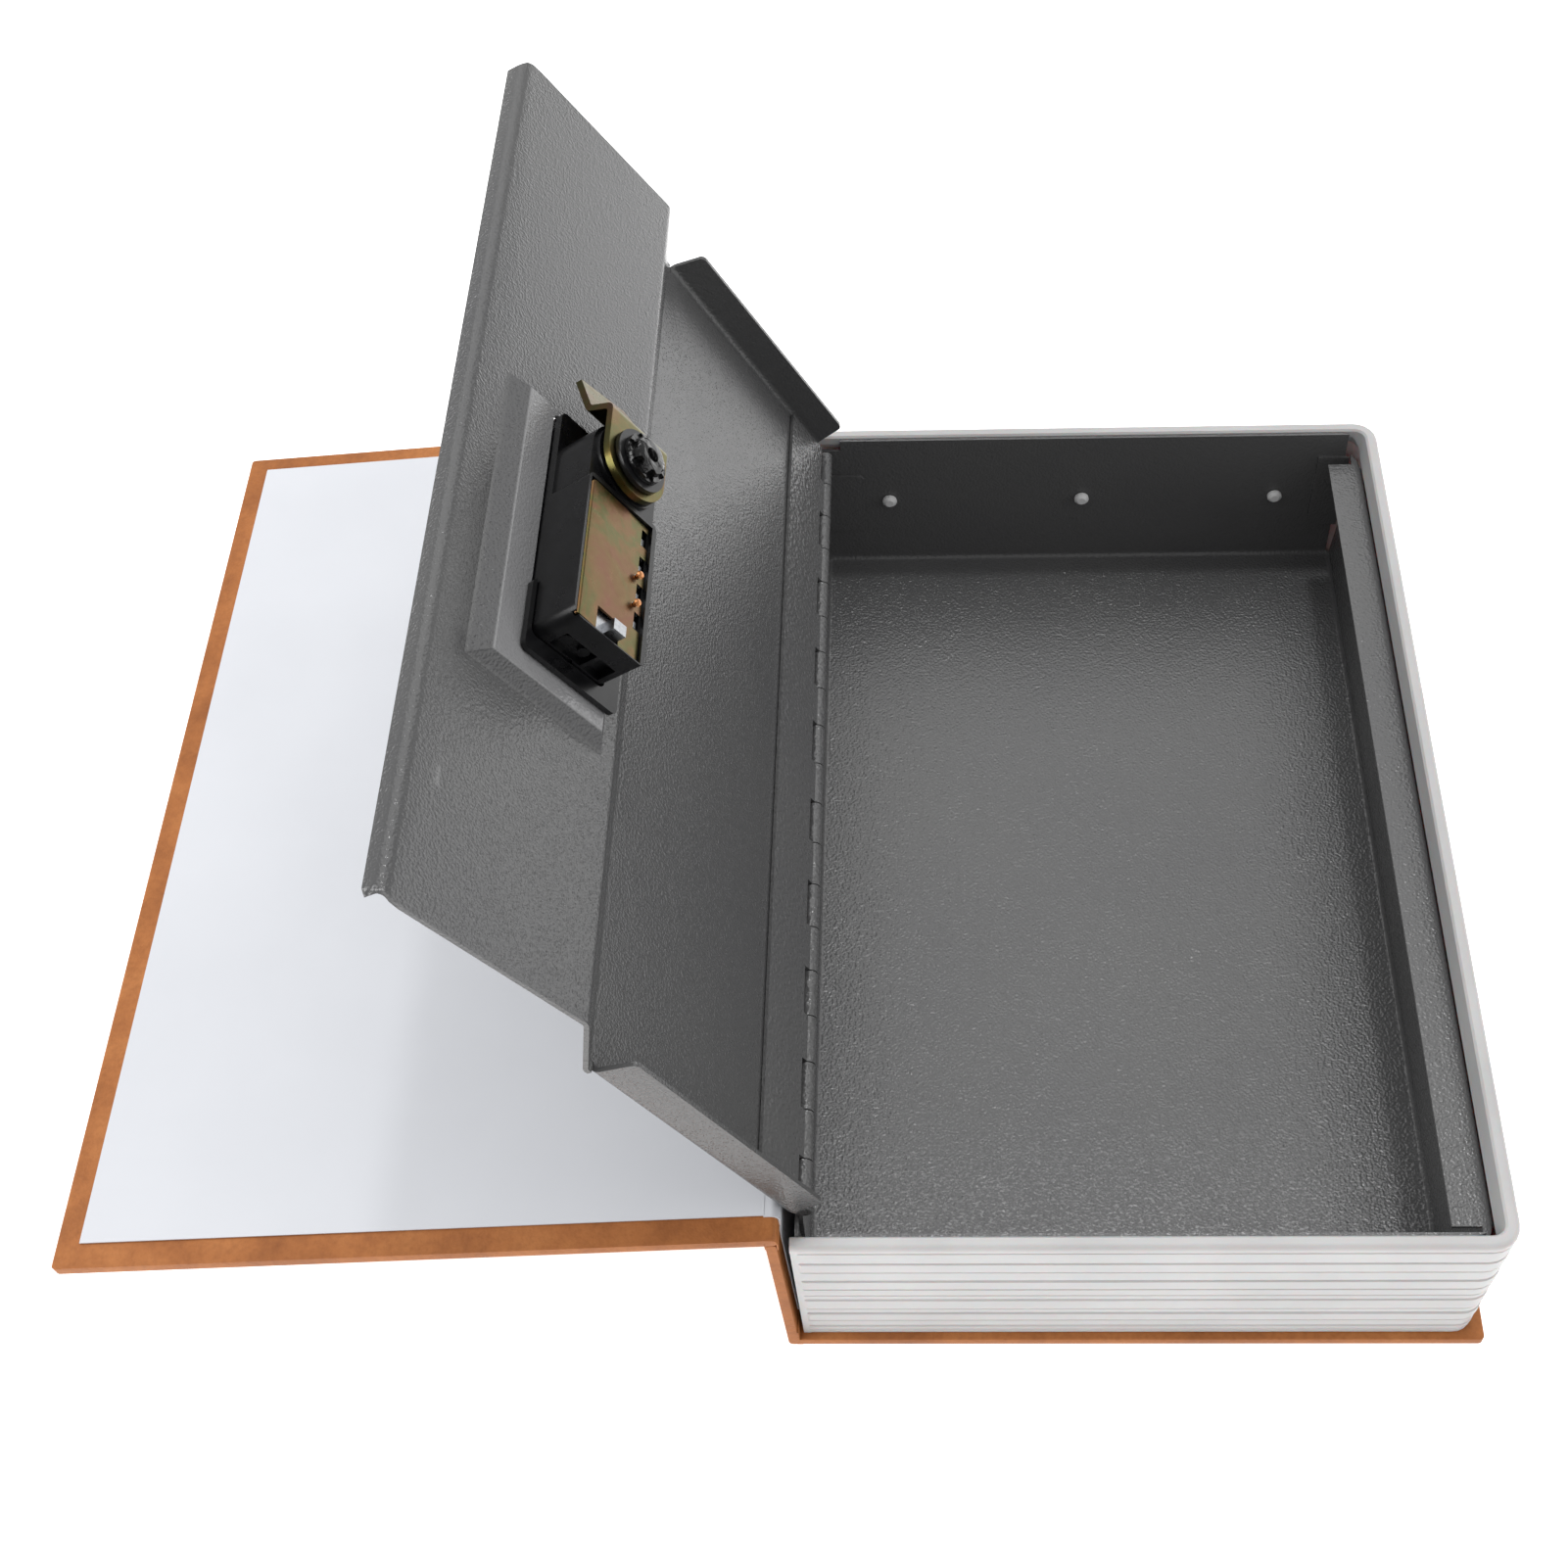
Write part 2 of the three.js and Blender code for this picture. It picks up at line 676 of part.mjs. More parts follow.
// The round inside the bend where the floor turns up into an end wall.
function endBend(side) {
  const shape = new THREE.Shape();
  const wallFace = side * endWallInner;
  shape.moveTo(wallFace + side * sheet / 2, trayFloor - sheet / 2);
  shape.lineTo(wallFace - side * bendRadius, trayFloor - sheet / 2);
  for (let step = 0; step <= bendSteps; step += 1) {
    const angle = Math.PI / 2 * step / bendSteps;
    shape.lineTo(wallFace - side * bendRadius * (1 - Math.sin(angle)), trayFloor + bendRadius * (1 - Math.cos(angle)));
  }
  shape.lineTo(wallFace + side * sheet / 2, trayFloor + bendRadius);
  return alongX(shape, hingeWallInner - sheet / 4, foreWallAt(trayFloor) - sheet / 4);
}

function cornerTab(outline, side) {
  const near = side * (endWallInner - sheet);
  const far = side * (endWallInner + sheet / 4);
  return alongY(outline, Math.min(near, far), Math.max(near, far));
}

// What is trimmed off the tray's upright corner to follow the page frame's rounded one.
function cornerRelief(side) {
  const radius = frameCornerRadius;
  const x = frameEnd - rimWidth - rimSlope - foreGap;
  const y = side * endWallOuter;
  const shape = new THREE.Shape();
  shape.moveTo(x - radius, y + side * overrun);
  for (let step = 0; step <= bendSteps; step += 1) {
    const angle = Math.PI / 2 * (1 - step / bendSteps);
    shape.lineTo(x - radius + radius * Math.cos(angle), y - side * radius * (1 - Math.sin(angle)));
  }
  shape.lineTo(x + overrun, y - side * radius);
  shape.lineTo(x + overrun, y + side * overrun);
  return upZ(shape, 0, rimHeight);
}

function studPlaces() {
  return [0, 1, 2].map((index) => frameStart + studFirst + index * studPitch);
}

function buildTray() {
  const sides = [-1, 1];
  const walls = sides.map(endWall);
  const tabs = sides.flatMap((side) => [cornerTab(spineTab(), side), cornerTab(foreTab(), side)]);
  const whole = join(trayShell(), ...walls, ...sides.map(endBend), ...tabs);
  const holes = sides.flatMap((side) => studPlaces().map((x) => {
    const near = side * (endWallInner - overrun);
    const far = side * (endWallOuter + overrun);
    return rodAlongY(x, studHeight, studShank / 2 + runningGap, Math.min(near, far), Math.max(near, far), holeSides / 2);
  }));
  addMesh(part, 'tray', cut(whole, ...holes, ...sides.map(cornerRelief)), greyPaint);
}

// Push rivets: a low domed head inside the tray and a shank out to the page frame.
function buildStuds() {
  const radius = studDiameter / 2;
  const shankEnd = frameHalf - frameWall - ridgeDepth - endInset - seatGap;
  const profile = [
    [0, 0], [studShank / 2, 0], [studShank / 2, shankEnd - endWallInner + runningGap],
    [radius, shankEnd - endWallInner + runningGap],
    [radius, shankEnd - endWallInner + runningGap + studHeadDepth / 2],
    [radius * 0.6, shankEnd - endWallInner + runningGap + studHeadDepth],
    [0, shankEnd - endWallInner + runningGap + studHeadDepth],
  ].map(([x, y]) => new THREE.Vector2(x, y));
  const head = new THREE.LatheGeometry(profile, holeSides / 2);
  [-1, 1].forEach((side) => studPlaces().forEach((x, index) => {
    const stud = head.clone();
    if (side > 0) stud.rotateX(Math.PI);
    stud.translate(x, side * shankEnd, studHeight);
    addMesh(part, `frame_stud_${side < 0 ? 'tail' : 'head'}_${index + 1}`, stud, pagePlastic);
  }));
}

// Piano hinge

const hingeHalf = endWallInner - hingeEndGap;
const knuckleSpan = hingeHalf * 2 / knuckleCount;

// One knuckle's span along the pin, counted from the head end.
function knuckleEnds(index) {
  const high = hingeHalf - index * knuckleSpan;
  return [high - knuckleSpan + knuckleGap / 2, high - knuckleGap / 2];
}

// A leaf lying on +X with its knuckles round the origin. Both leaves are this one form; the
// tray's takes the odd knuckles counted from the head end and the lid's takes the rest.
function hingeLeaf(width, takesFirst) {
  const mine = [];
  const others = [];
  for (let index = 0; index < knuckleCount; index += 1) {
    (index % 2 === (takesFirst ? 0 : 1) ? mine : others).push(knuckleEnds(index));
  }
  const plate = block(pinDiameter / 2 + runningGap, width, -hingeHalf, hingeHalf, -leafOffset, leafOffset * 0 - leafOffset + leafThickness);
  const barrels = mine.map(([low, high]) => rodAlongY(0, 0, knuckleRadius, low, high));
  const bore = rodAlongY(0, 0, pinDiameter / 2 + seatGap, -hingeHalf - overrun, hingeHalf + overrun, holeSides / 2);
  const notches = others.map(([low, high]) => block(-knuckleRadius - overrun, knuckleRadius + leafNotch - knuckleRadius / 2,
    low - knuckleGap, high + knuckleGap, -leafOffset - overrun, overrun));
  const slits = mine.slice(0, -1).map(([low]) => block(-knuckleRadius - overrun, knuckleRadius + leafNotch - knuckleRadius / 2,
    low - knuckleGap, low, -leafOffset - overrun, overrun));
  return cut(join(cut(plate, ...notches, ...slits), ...barrels), bore);
}

function buildTrayHinge() {
  const leaf = hingeLeaf(trayLeafDepth, true).rotateY(Math.PI / 2).translate(pinX, 0, pinHeight);
  addMesh(part, 'tray_hinge_leaf', leaf, greyPaint);
  const pin = rodAlongY(pinX, pinHeight, pinDiameter / 2, -hingeHalf, hingeHalf, holeSides / 2);
  addMesh(part, 'hinge_pin', pin, pinSteel);
}

// Lid

// The lower panel's own frame, inside the lid: X is s, Z points out of the lid.
const lowerRun = Math.hypot(freeReach - rampReach, rampDrop - freeDrop);
const lowerTilt = Math.atan2(rampDrop - freeDrop, freeReach - rampReach);

function placeOnLowerPanel(object) {
  object.position.set(rampReach, 0, lidInner - rampDrop);
  object.rotation.y = -lowerTilt;
  return object;
}

function onLowerPanel(geometry) {
  return geometry.rotateY(-lowerTilt).translate(rampReach, 0, lidInner - rampDrop);
}

// A four-sided hill or hollow: its mouth on one plane, its floor on another.
function frustum(mouth, floor) {
  const ring = ({ start, end, tail, head, height }) => [
    new THREE.Vector3(start, tail, height), new THREE.Vector3(end, tail, height),
    new THREE.Vector3(end, head, height), new THREE.Vector3(start, head, height),
  ];
  const outline = [[mouth.start, mouth.tail], [mouth.end, mouth.tail], [mouth.end, mouth.head], [mouth.start, mouth.head]];
  const geometry = cappedLoft([ring(mouth), ring(floor)], outline.map(([x, y]) => new THREE.Vector2(x, y)));
  return orientOutwards(geometry);
}

// The well is pressed inwards: a hill inside the lid, and the same hollow outside it.
function wellForms() {
  const mouth = (grow, height) => ({
    start: wellStart - grow, end: wellEnd + grow, tail: wellTail - grow, head: wellHead + grow, height,
  });
  const floor = (height) => ({
    start: wellStart + wellSlopeSide, end: wellEnd - wellSlopeFree, tail: wellTail + wellSlopeEnds,
    head: wellHead - wellSlopeEnds, height,
  });
  const hill = frustum(mouth(0, lidSheet / 2), floor(-wellDepth));
  const hollow = frustum(mouth(lidSheet / 4, lidSheet + overrun / 4), floor(-wellDepth + lidSheet));
  return { hill, hollow };
}

function lidFlange(side) {
  const bottom = lidInner - flangeDepth;
  const top = lidInner + lidSheet + overrun;
  const near = lidStart + flangeNearTaper;
  const far = flangeFarStart - flangeFarTaper;
  const outline = new THREE.Shape();
  outline.moveTo(lidStart, top);
  outline.lineTo(near, bottom + flangeRound);
  outline.quadraticCurveTo(near, bottom, near + flangeRound, bottom);
  outline.lineTo(far - flangeRound, bottom);
  outline.quadraticCurveTo(far, bottom, far, bottom + flangeRound);
  outline.lineTo(flangeFarStart, top);
  const run = [
    [lidHalf - flangeDepth, lidInner],
    [lidHalf - lidSheet, lidInner],
    [lidHalf - lidSheet, lidInner - flangeDepth - overrun],
  ];
  const bend = foldedSheet(side > 0 ? run : run.map(([y, z]) => [-y, z]).reverse(), lidSheet, lidBend);
  const folded = alongX(bend, lidStart - overrun, flangeFarStart + overrun);
  const tall = alongY(outline, -lidHalf - overrun, lidHalf + overrun);
  return common(folded, tall);
}

function buildLid() {
  const lid = new THREE.Group();
  lid.position.set(pinX, 0, pinHeight);
  lid.rotation.y = -lidOpening;
  part.add(lid);
  const section = foldedSheet([
    [lidStart, lidInner],
    [foldReach, lidInner],
    [rampReach, lidInner - rampDrop],
    [freeReach, lidInner - freeDrop],
    [freeReach, lidInner - freeDrop + lipHeight + lidSheet],
  ], lidSheet, lidBend);
  const body = alongY(section, -lidHalf, lidHalf);
  const endReach = lidBend + lidSheet;
  const endCuts = [-1, 1].map((side) => block(lidStart - overrun, flangeFarStart, side > 0 ? lidHalf - endReach : -lidHalf - overrun,
    side > 0 ? lidHalf + overrun : -lidHalf + endReach, lidInner - overrun, lidInner + lidSheet + overrun));
  const flanges = [-1, 1].map(lidFlange);
  const cornerShape = (side) => {
    const edge = side * lidHalf;
    const shape = new THREE.Shape();
    const far = freeReach + lidSheet + overrun;
    shape.moveTo(far - lowerCornerRound, edge + side * overrun);
    shape.lineTo(far + overrun, edge + side * overrun);
    shape.lineTo(far + overrun, edge - side * lowerCornerRound);
    shape.lineTo(far - overrun, edge - side * lowerCornerRound);
    shape.quadraticCurveTo(far - overrun, edge, far - lowerCornerRound, edge);
    return upZ(shape, -rampDrop - overrun, lipHeight + lidSheet);
  };
  const { hill, hollow } = wellForms();
  const holeSide = holeMargin;
  const mouth = roundedBox(lockCentre - housingWidth / 2 - holeSide, lockCentre + housingWidth / 2 + holeSide,
    housingTail - holeSide, housingBaseHead + holeSide, housingRound);
  const hole = onLowerPanel(upZ(mouth, -wellDepth - overrun, lidSheet + overrun));
  const shell = join(cut(body, ...endCuts), ...flanges, onLowerPanel(hill));
  const panel = cut(shell, onLowerPanel(hollow), hole, cornerShape(-1), cornerShape(1));
  addMesh(lid, 'lid_panel', panel, greyPaint);
  addMesh(lid, 'lid_hinge_leaf', hingeLeaf(lidLeafWidth, false), greyPaint);
  return lid;
}

// Lock, drawn in the lower panel's frame. Depths h into the box are negative Z here.

function down(h) {
  return -h;
}

// The moulded pocket in the housing's tail end, with a rib across it and round ejector marks.
function endPocket() {
  const floor = housingTail + endPocketDepth;
  const middle = (endPocketBottom + endPocketTop) / 2;
  const pocket = block(endPocketStart, endPocketEnd, housingTail - overrun, floor, down(endPocketTop), down(endPocketBottom));
  const ribPlace = THREE.MathUtils.lerp(endPocketStart, endPocketEnd, 1 / 3);
  const rib = block(ribPlace - endPocketRib / 2, ribPlace + endPocketRib / 2, housingTail + runningGap, floor + overrun,
    down(endPocketTop + overrun / 2), down(endPocketBottom - overrun / 2));
  const marks = [1 / 2, 5 / 6].map((share) => rodAlongY(THREE.MathUtils.lerp(endPocketStart, endPocketEnd, share), down(middle),
    ejectorDiameter / 2, floor - ejectorRise, floor + overrun, holeSides / 2));
  return { pocket, fittings: [rib, ...marks] };
}

function buildHousing(lock) {
  const left = lockCentre - housingWidth / 2;
  const right = lockCentre + housingWidth / 2;
  const box = upZ(roundedBox(left, right, housingTail, housingHead, [housingRound, housingTailRound, housingRound, housingRound]),
    down(housingTop), down(housingBottom));
  const base = upZ(roundedBox(left, right, housingTail, housingBaseHead, [housingRound, housingTailRound, housingRound, housingRound]),
    down(housingBaseTop), down(housingBottom));
  const boss = rodUpZ(lockCentre, knobCentre, bossDiameter / 2, down(bossTop), down(housingBottom), wheelSides);
  const shoulder = rodUpZ(lockCentre, knobCentre, shoulderWidth / 2, down(shoulderTop), down(housingBottom), wheelSides);
  const neck = block(lockCentre - shoulderWidth / 2, lockCentre + shoulderWidth / 2, housingHead - overrun, knobCentre,
    down(shoulderTop), down(housingBottom));
  const inLeft = left + housingWall;
  const inRight = right - housingWall;
  const inTail = housingTail + leverWall;
  const inHead = housingHead - housingWall;
  const wheelTail = wheelFirst - wheelPitch / 2 - ringWidth;
  const wheelRoom = block(inLeft, inRight, wheelTail, inHead, down(housingTop + overrun), down(housingBottom - overrun));
  const leverRoom = block(inLeft, inRight, inTail, wheelTail - crossWall, down(housingTop + overrun), down(leverBlockBottom - runningGap));
  const ledgeDepth = plateThickness + coverLedge / 3;
  const ledge = block(plateNear - runningGap, plateFar + runningGap, plateTail - runningGap, plateHead + runningGap,
    down(housingTop + overrun), down(housingTop - ledgeDepth));
  const spindleBore = rodAlongY(lockCentre, down(wheelHeight), spindleDiameter / 2 + spindleClearance,
    housingTail - overrun, housingHead - housingWall / 2);
  const shaftBore = rodUpZ(lockCentre, knobCentre, shaftDiameter / 2 + shaftClearance, down(bossTop + overrun),
    down(housingBottom - overrun), wheelSides);
  const { pocket, fittings } = endPocket();
  const whole = join(cut(join(box, base, boss, shoulder, neck), pocket), ...fittings);
  addMesh(lock, 'lock_housing', cut(whole, wheelRoom, leverRoom, ledge, spindleBore, shaftBore), blackPlastic);
}

function notchPlaces() {
  const first = wheelFirst - wheelPitch / 2;
  return Array.from({ length: wheelCount + 1 }, (_, index) => first + index * wheelPitch);
}

function buildCoverPlate(lock) {
  const top = down(housingTop);
  const under = down(housingTop - plateThickness);
  const plan = upZ(roundedBox(plateNear, plateFar, plateTail, plateHead, [boardEdgeRound, boardEdgeRound, bendRadius, boardEdgeRound]),
    top - overrun, under + overrun);
  const section = new THREE.Shape();
  section.moveTo(plateNear - overrun, top);
  section.absarc(plateFar - plateRoll, top + plateRoll, plateRoll, -Math.PI / 2, 0);
  section.lineTo(plateFar, under);
  section.lineTo(plateNear - overrun, under);
  const plate = common(plan, alongY(section, plateTail - overrun, plateHead + overrun));
  const notches = notchPlaces().map((y) => block(plateNear - overrun, plateNear + plateNotchDepth,
    y - plateNotchLength / 2, y + plateNotchLength / 2, top - overrun, under + overrun));
  const slot = block(leverSlotStart, leverSlotEnd, plateTail - overrun, plateTail + leverSlotDepth, top - overrun, under + overrun);
  const rivetHoles = rivetPlaces().map((y) => rodUpZ(plateNear + rivetInset, y, rivetDiameter / 4 + runningGap / 2,
    top - overrun, under + overrun, holeSides / 2));
  addMesh(lock, 'lock_cover_plate', cut(plate, ...notches, slot, ...rivetHoles), zincPlate);
  const radius = rivetDiameter / 2;
  const points = [[0, -plateThickness], [radius / 2, -plateThickness], [radius / 2, runningGap], [radius, runningGap],
    [radius * 0.7, runningGap + rivetRise * 0.7], [0, runningGap + rivetRise]];
  rivetPlaces().forEach((y, index) => {
    const rivet = new THREE.LatheGeometry(points.map(([x, z]) => new THREE.Vector2(x, z)), holeSides / 2);
    rivet.rotateX(-Math.PI / 2).translate(plateNear + rivetInset, y, top);
    addMesh(lock, `cover_plate_rivet_${index + 1}`, rivet, copperRivet);
  });
}

function rivetPlaces() {
  const [, second] = notchPlaces();
  return [second - wheelPitch / 2, second + wheelPitch / 2];
}

function buildBezel(lock) {
  const left = bezelStart;
  const right = bezelEnd;
  const outer = upZ(roundedBox(left, right, bezelTail, bezelHead, bezelRound), down(housingBottom - runningGap), down(bezelFace));
  const inner = upZ(roundedBox(left + bezelWall, right - bezelWall, bezelTail + bezelWall, bezelHead - bezelWall, bezelRound - bezelWall / 2),
    down(housingBottom + overrun), down(bezelFace + bezelThickness));
  const window = block(lockCentre - windowWidth / 2, lockCentre + windowWidth / 2,
    wheelTail() - runningGap, wheelPlaces().at(-1) + wheelWidth / 2 + seatGap + ringWidth + runningGap,
    down(housingBottom + overrun), down(bezelFace - overrun));
  const knobHole = rodUpZ(lockCentre, knobCentre, shaftDiameter / 2 + shaftClearance, down(housingBottom), down(bezelFace - overrun), wheelSides);
  addMesh(lock, 'lock_bezel', cut(outer, inner, window, knobHole), blackPlastic);
}

function buildClip(lock) {
  const outer = upZ(roundedBox(clipStart, clipEnd, clipTail, clipHead, clipRound), down(wellDepth + runningGap + clipThickness),
    down(wellDepth + runningGap));
  const gap = runningGap;
  const slot = upZ(roundedBox(lockCentre - housingWidth / 2 - gap, lockCentre + housingWidth / 2 + gap,
    housingTail - gap, clipHead + overrun, [housingRound, housingRound, 0, 0]),
  down(wellDepth + clipThickness + overrun), down(wellDepth - overrun));
  addMesh(lock, 'lock_clip', cut(outer, slot), blackPlastic);
}

// Where the collar at the tail end of the wheels begins.
function wheelTail() {
  return wheelFirst - wheelWidth / 2 - seatGap * 2 - ringWidth;
}

function wheelPlaces() {
  return Array.from({ length: wheelCount }, (_, index) => wheelFirst + index * wheelPitch);
}

// A number wheel: ten flats with a finger groove between each two.
function wheelGeometry(y) {
  const points = [];
  for (let face = 0; face < wheelFaces; face += 1) {
    const step = Math.PI * 2 / wheelFaces;
    const middle = face * step;
    const shares = [[-0.5, 1], [-0.4, 0], [0, 0], [0.4, 0]];
    for (const [turn, depth] of shares) {
      const angle = middle + turn * step;
      const radius = wheelRadius - wheelGroove * depth;
      points.push([lockCentre + radius * Math.sin(angle), down(wheelHeight) + radius * Math.cos(angle)]);
    }
  }
  const wheel = alongY(polygon(points), y - wheelWidth / 2, y + wheelWidth / 2);
  const bore = rodAlongY(lockCentre, down(wheelHeight), spindleDiameter / 2 + spindleClearance, y - wheelWidth, y + wheelWidth);
  return cut(wheel, bore);
}

// A code ring with the gate that the lock reads, on the wheel's head side.
function codeRing(y) {
  const low = y + wheelWidth / 2 + seatGap;
  const high = low + ringWidth;
  const disc = rodAlongY(lockCentre, down(wheelHeight), ringRadius, low, high, wheelSides);
  const bore = rodAlongY(lockCentre, down(wheelHeight), spindleDiameter / 2 + spindleClearance, low - overrun, high + overrun);
  const gate = block(lockCentre - ringNotch / 2, lockCentre + ringNotch / 2, low - overrun, high + overrun,
    down(wheelHeight) - ringRadius - overrun, down(wheelHeight) - ringRadius + ringNotch);
  return cut(disc, bore, gate);
}

function buildWheels(lock) {
  wheelPlaces().forEach((y, index) => {
    addMesh(lock, `number_wheel_${index + 1}`, wheelGeometry(y), wheelPlastic);
    addMesh(lock, `code_ring_${index + 1}`, codeRing(y), silverMetal);
  });
  const tail = housingTail + housingWall / 2;
  const head = housingHead - housingWall;
  const rod = rodAlongY(lockCentre, down(wheelHeight), spindleDiameter / 2, tail, head);
  const collar = rodAlongY(lockCentre, down(wheelHeight), ringRadius, wheelTail(), wheelTail() + ringWidth, wheelSides);
  addMesh(lock, 'wheel_spindle', join(rod, collar), silverMetal);
}

// A leaf spring under the cover plate, with a finger that drops onto each wheel.
function buildDetentSpring(lock) {
  const top = housingTop - plateThickness - coverLedge / 3 - runningGap;
  const left = lockCentre - springWidth / 2;
  const right = lockCentre + springWidth / 2;
  const tail = wheelFirst - wheelPitch / 2 - ringWidth + runningGap;
  const strip = block(left, left + springFingerWidth, tail, notchPlaces().at(-1) + springHook, down(top), down(top - springThickness));
  const hooks = notchPlaces().map((y) => block(left - overrun, left + springFingerWidth / 2, y + plateNotchLength / 2 - springHook,
    y + plateNotchLength / 2, down(top + overrun), down(top - overrun)));
  const edge = cut(strip, ...hooks);
  const fingers = wheelPlaces().map((y) => {
    const tip = top - springDip;
    const shape = foldedSheet([
      [left + springFingerWidth / 2, down(top)],
      [lockCentre - springDip, down(top)],
      [lockCentre, down(tip)],
      [lockCentre + springDip, down(top)],
      [right, down(top)],
    ], springThickness, springThickness);
    return alongY(shape, y - springFingerWidth / 2, y + springFingerWidth / 2);
  });
  addMesh(lock, 'detent_spring', join(edge, ...fingers), silverMetal);
}

function buildResetLever(lock) {
  const leverTop = housingTop + leverRise;
  const under = housingTop - plateThickness - coverLedge / 3 - runningGap;
  const room = housingTail + leverWall + runningGap;
  const roomHead = wheelFirst - wheelPitch / 2 - ringWidth - crossWall - runningGap;
  const slider = block(leverRestCentre - leverBlockWidth / 2, leverRestCentre + leverBlockWidth / 2, room, roomHead,
    down(under), down(leverBlockBottom));
  const post = block(leverRestCentre - leverPost / 2, leverRestCentre + leverPost / 2, leverCentreY - leverPostDepth / 2,
    leverCentreY + leverPostDepth / 2, down(leverTop), down(leverBlockBottom + overrun));
  addMesh(lock, 'reset_lever', join(slider, post), silverMetal);
}

// Knob, shaft and the Z-bent cam that turns with them. The cam is shown unlocked, towards +Y.
function buildKnob(lock) {
  const knob = new THREE.Group();
  knob.position.set(lockCentre, knobCentre, 0);
  lock.add(knob);
  const discTop = bezelFace - runningGap;
  const disc = rodUpZ(0, 0, knobDiscDiameter / 2, down(discTop), down(discTop - knobDiscThickness), wheelSides);
  const grip = upZ(roundedBox(-gripWidth / 2, gripWidth / 2, -gripLength / 2, gripLength / 2, gripWidth / 3),
    down(discTop - knobDiscThickness / 2), down(discTop - knobDiscThickness - gripHeight));
  const camUnder = camTop - camThickness;
  const shaft = rodUpZ(0, 0, shaftDiameter / 2, down(camUnder - runningGap), down(discTop - knobDiscThickness / 2), wheelSides);
  const square = block(-squareSize / 2, squareSize / 2, -squareSize / 2, squareSize / 2, down(camTop + runningGap / 2), down(camUnder - overrun));
  addMesh(knob, 'knob', join(disc, grip, shaft, square), blackPlastic);

  const profile = foldedSheet([
    [-camWidth / 2 - overrun, down(camTop)],
    [camFlat, down(camTop)],
    [camDropReach, down(camFootHeight)],
    [camReach + overrun, down(camTipHeight)],
  ], camThickness, camBend);
  const strip = new THREE.ExtrudeGeometry(profile, { depth: camWidth, bevelEnabled: false });
  strip.rotateX(Math.PI / 2).rotateZ(Math.PI / 2).translate(-camWidth / 2, 0, 0);
  const round = camWidth / 2;
  const plan = new THREE.Shape();
  plan.moveTo(round, 0);
  plan.lineTo(round, camReach - camTipCut);
  plan.lineTo(-round + camTipRound, camReach - camTipCut * camTipRound / camWidth);
  plan.lineTo(-round, camReach - camTipRound);
  plan.lineTo(-round, 0);
  plan.absarc(0, 0, round, Math.PI, Math.PI * 2);
  const planSolid = new THREE.ExtrudeGeometry(plan, { depth: camTop * 2, bevelEnabled: false, curveSegments: wheelSides / 2 });
  const cam = common(strip, planSolid.translate(0, 0, down(camTop * 1.5)));
  const squareGap = seatGap * 2;
  const squareHole = block(-squareSize / 2 - squareGap, squareSize / 2 + squareGap, -squareSize / 2 - squareGap, squareSize / 2 + squareGap,
    down(camTop + overrun), down(camUnder - overrun));
  addMesh(knob, 'cam', cut(cam, squareHole), zincPlate);

  const washerUnder = camTop + runningGap;
  const washer = rodUpZ(0, 0, washerDiameter / 2, down(washerUnder + washerThickness), down(washerUnder), wheelSides);
  const screwUnder = washerUnder + washerThickness;
  const head = new THREE.LatheGeometry([
    [0, 0], [screwDiameter / 2, 0], [screwDiameter / 2, screwFlange], [screwDiameter / 2 * 0.8, screwFlange],
    [screwDiameter / 2 * 0.74, screwHeight * 0.9], [screwDiameter / 2 * 0.6, screwHeight], [screwDiameter / 2 * 0.3, screwHeight],
    [screwDiameter / 2 * 0.24, screwFlange], [0, screwFlange],
  ].map(([x, y]) => new THREE.Vector2(x, y)), holeSides).rotateX(-Math.PI / 2).translate(0, 0, down(screwUnder) - seatGap);
  const sockets = Array.from({ length: screwSockets }, (_, index) => {
    const angle = Math.PI * 2 * index / screwSockets;
    const reach = screwDiameter / 2 * 0.86;
    return rodUpZ(reach * Math.cos(angle), reach * Math.sin(angle), screwSocketRadius, down(screwUnder + screwHeight + overrun),
      down(screwUnder + screwFlange * 0.7), holeSides / 3);
  });
  addMesh(knob, 'cam_washer', washer, blackPlastic);
  addMesh(knob, 'cam_screw', cut(head, ...sockets), blackPlastic);
}

buildBackBoard();
buildCover(buildSpine());
buildPageFrame();
buildTray();
buildStuds();
buildTrayHinge();
const lid = buildLid();
const lock = placeOnLowerPanel(new THREE.Group());
lid.add(lock);
buildHousing(lock);
buildCoverPlate(lock);
buildBezel(lock);
buildClip(lock);
buildWheels(lock);
buildDetentSpring(lock);
buildResetLever(lock);
buildKnob(lock);

export default part;
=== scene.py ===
"""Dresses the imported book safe: covered boards, moulded pages, painted steel and its cam lock.

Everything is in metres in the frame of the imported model.
"""

import logging
import math
from abc import ABC, abstractmethod
from dataclasses import dataclass, field
from enum import Enum
from typing import Optional

import bmesh
import bpy
from mathutils import Matrix, Vector


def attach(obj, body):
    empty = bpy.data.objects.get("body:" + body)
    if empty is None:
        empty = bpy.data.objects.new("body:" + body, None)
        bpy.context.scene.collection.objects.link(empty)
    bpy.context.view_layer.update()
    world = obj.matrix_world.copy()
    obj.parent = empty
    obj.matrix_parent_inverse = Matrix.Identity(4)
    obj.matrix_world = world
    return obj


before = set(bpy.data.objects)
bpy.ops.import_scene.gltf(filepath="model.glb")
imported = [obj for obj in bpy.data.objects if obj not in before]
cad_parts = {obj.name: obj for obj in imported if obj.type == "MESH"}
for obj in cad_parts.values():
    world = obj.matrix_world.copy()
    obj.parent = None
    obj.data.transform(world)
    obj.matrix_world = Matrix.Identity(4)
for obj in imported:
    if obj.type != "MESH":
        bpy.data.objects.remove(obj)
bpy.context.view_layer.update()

log = logging.getLogger("book_safe")

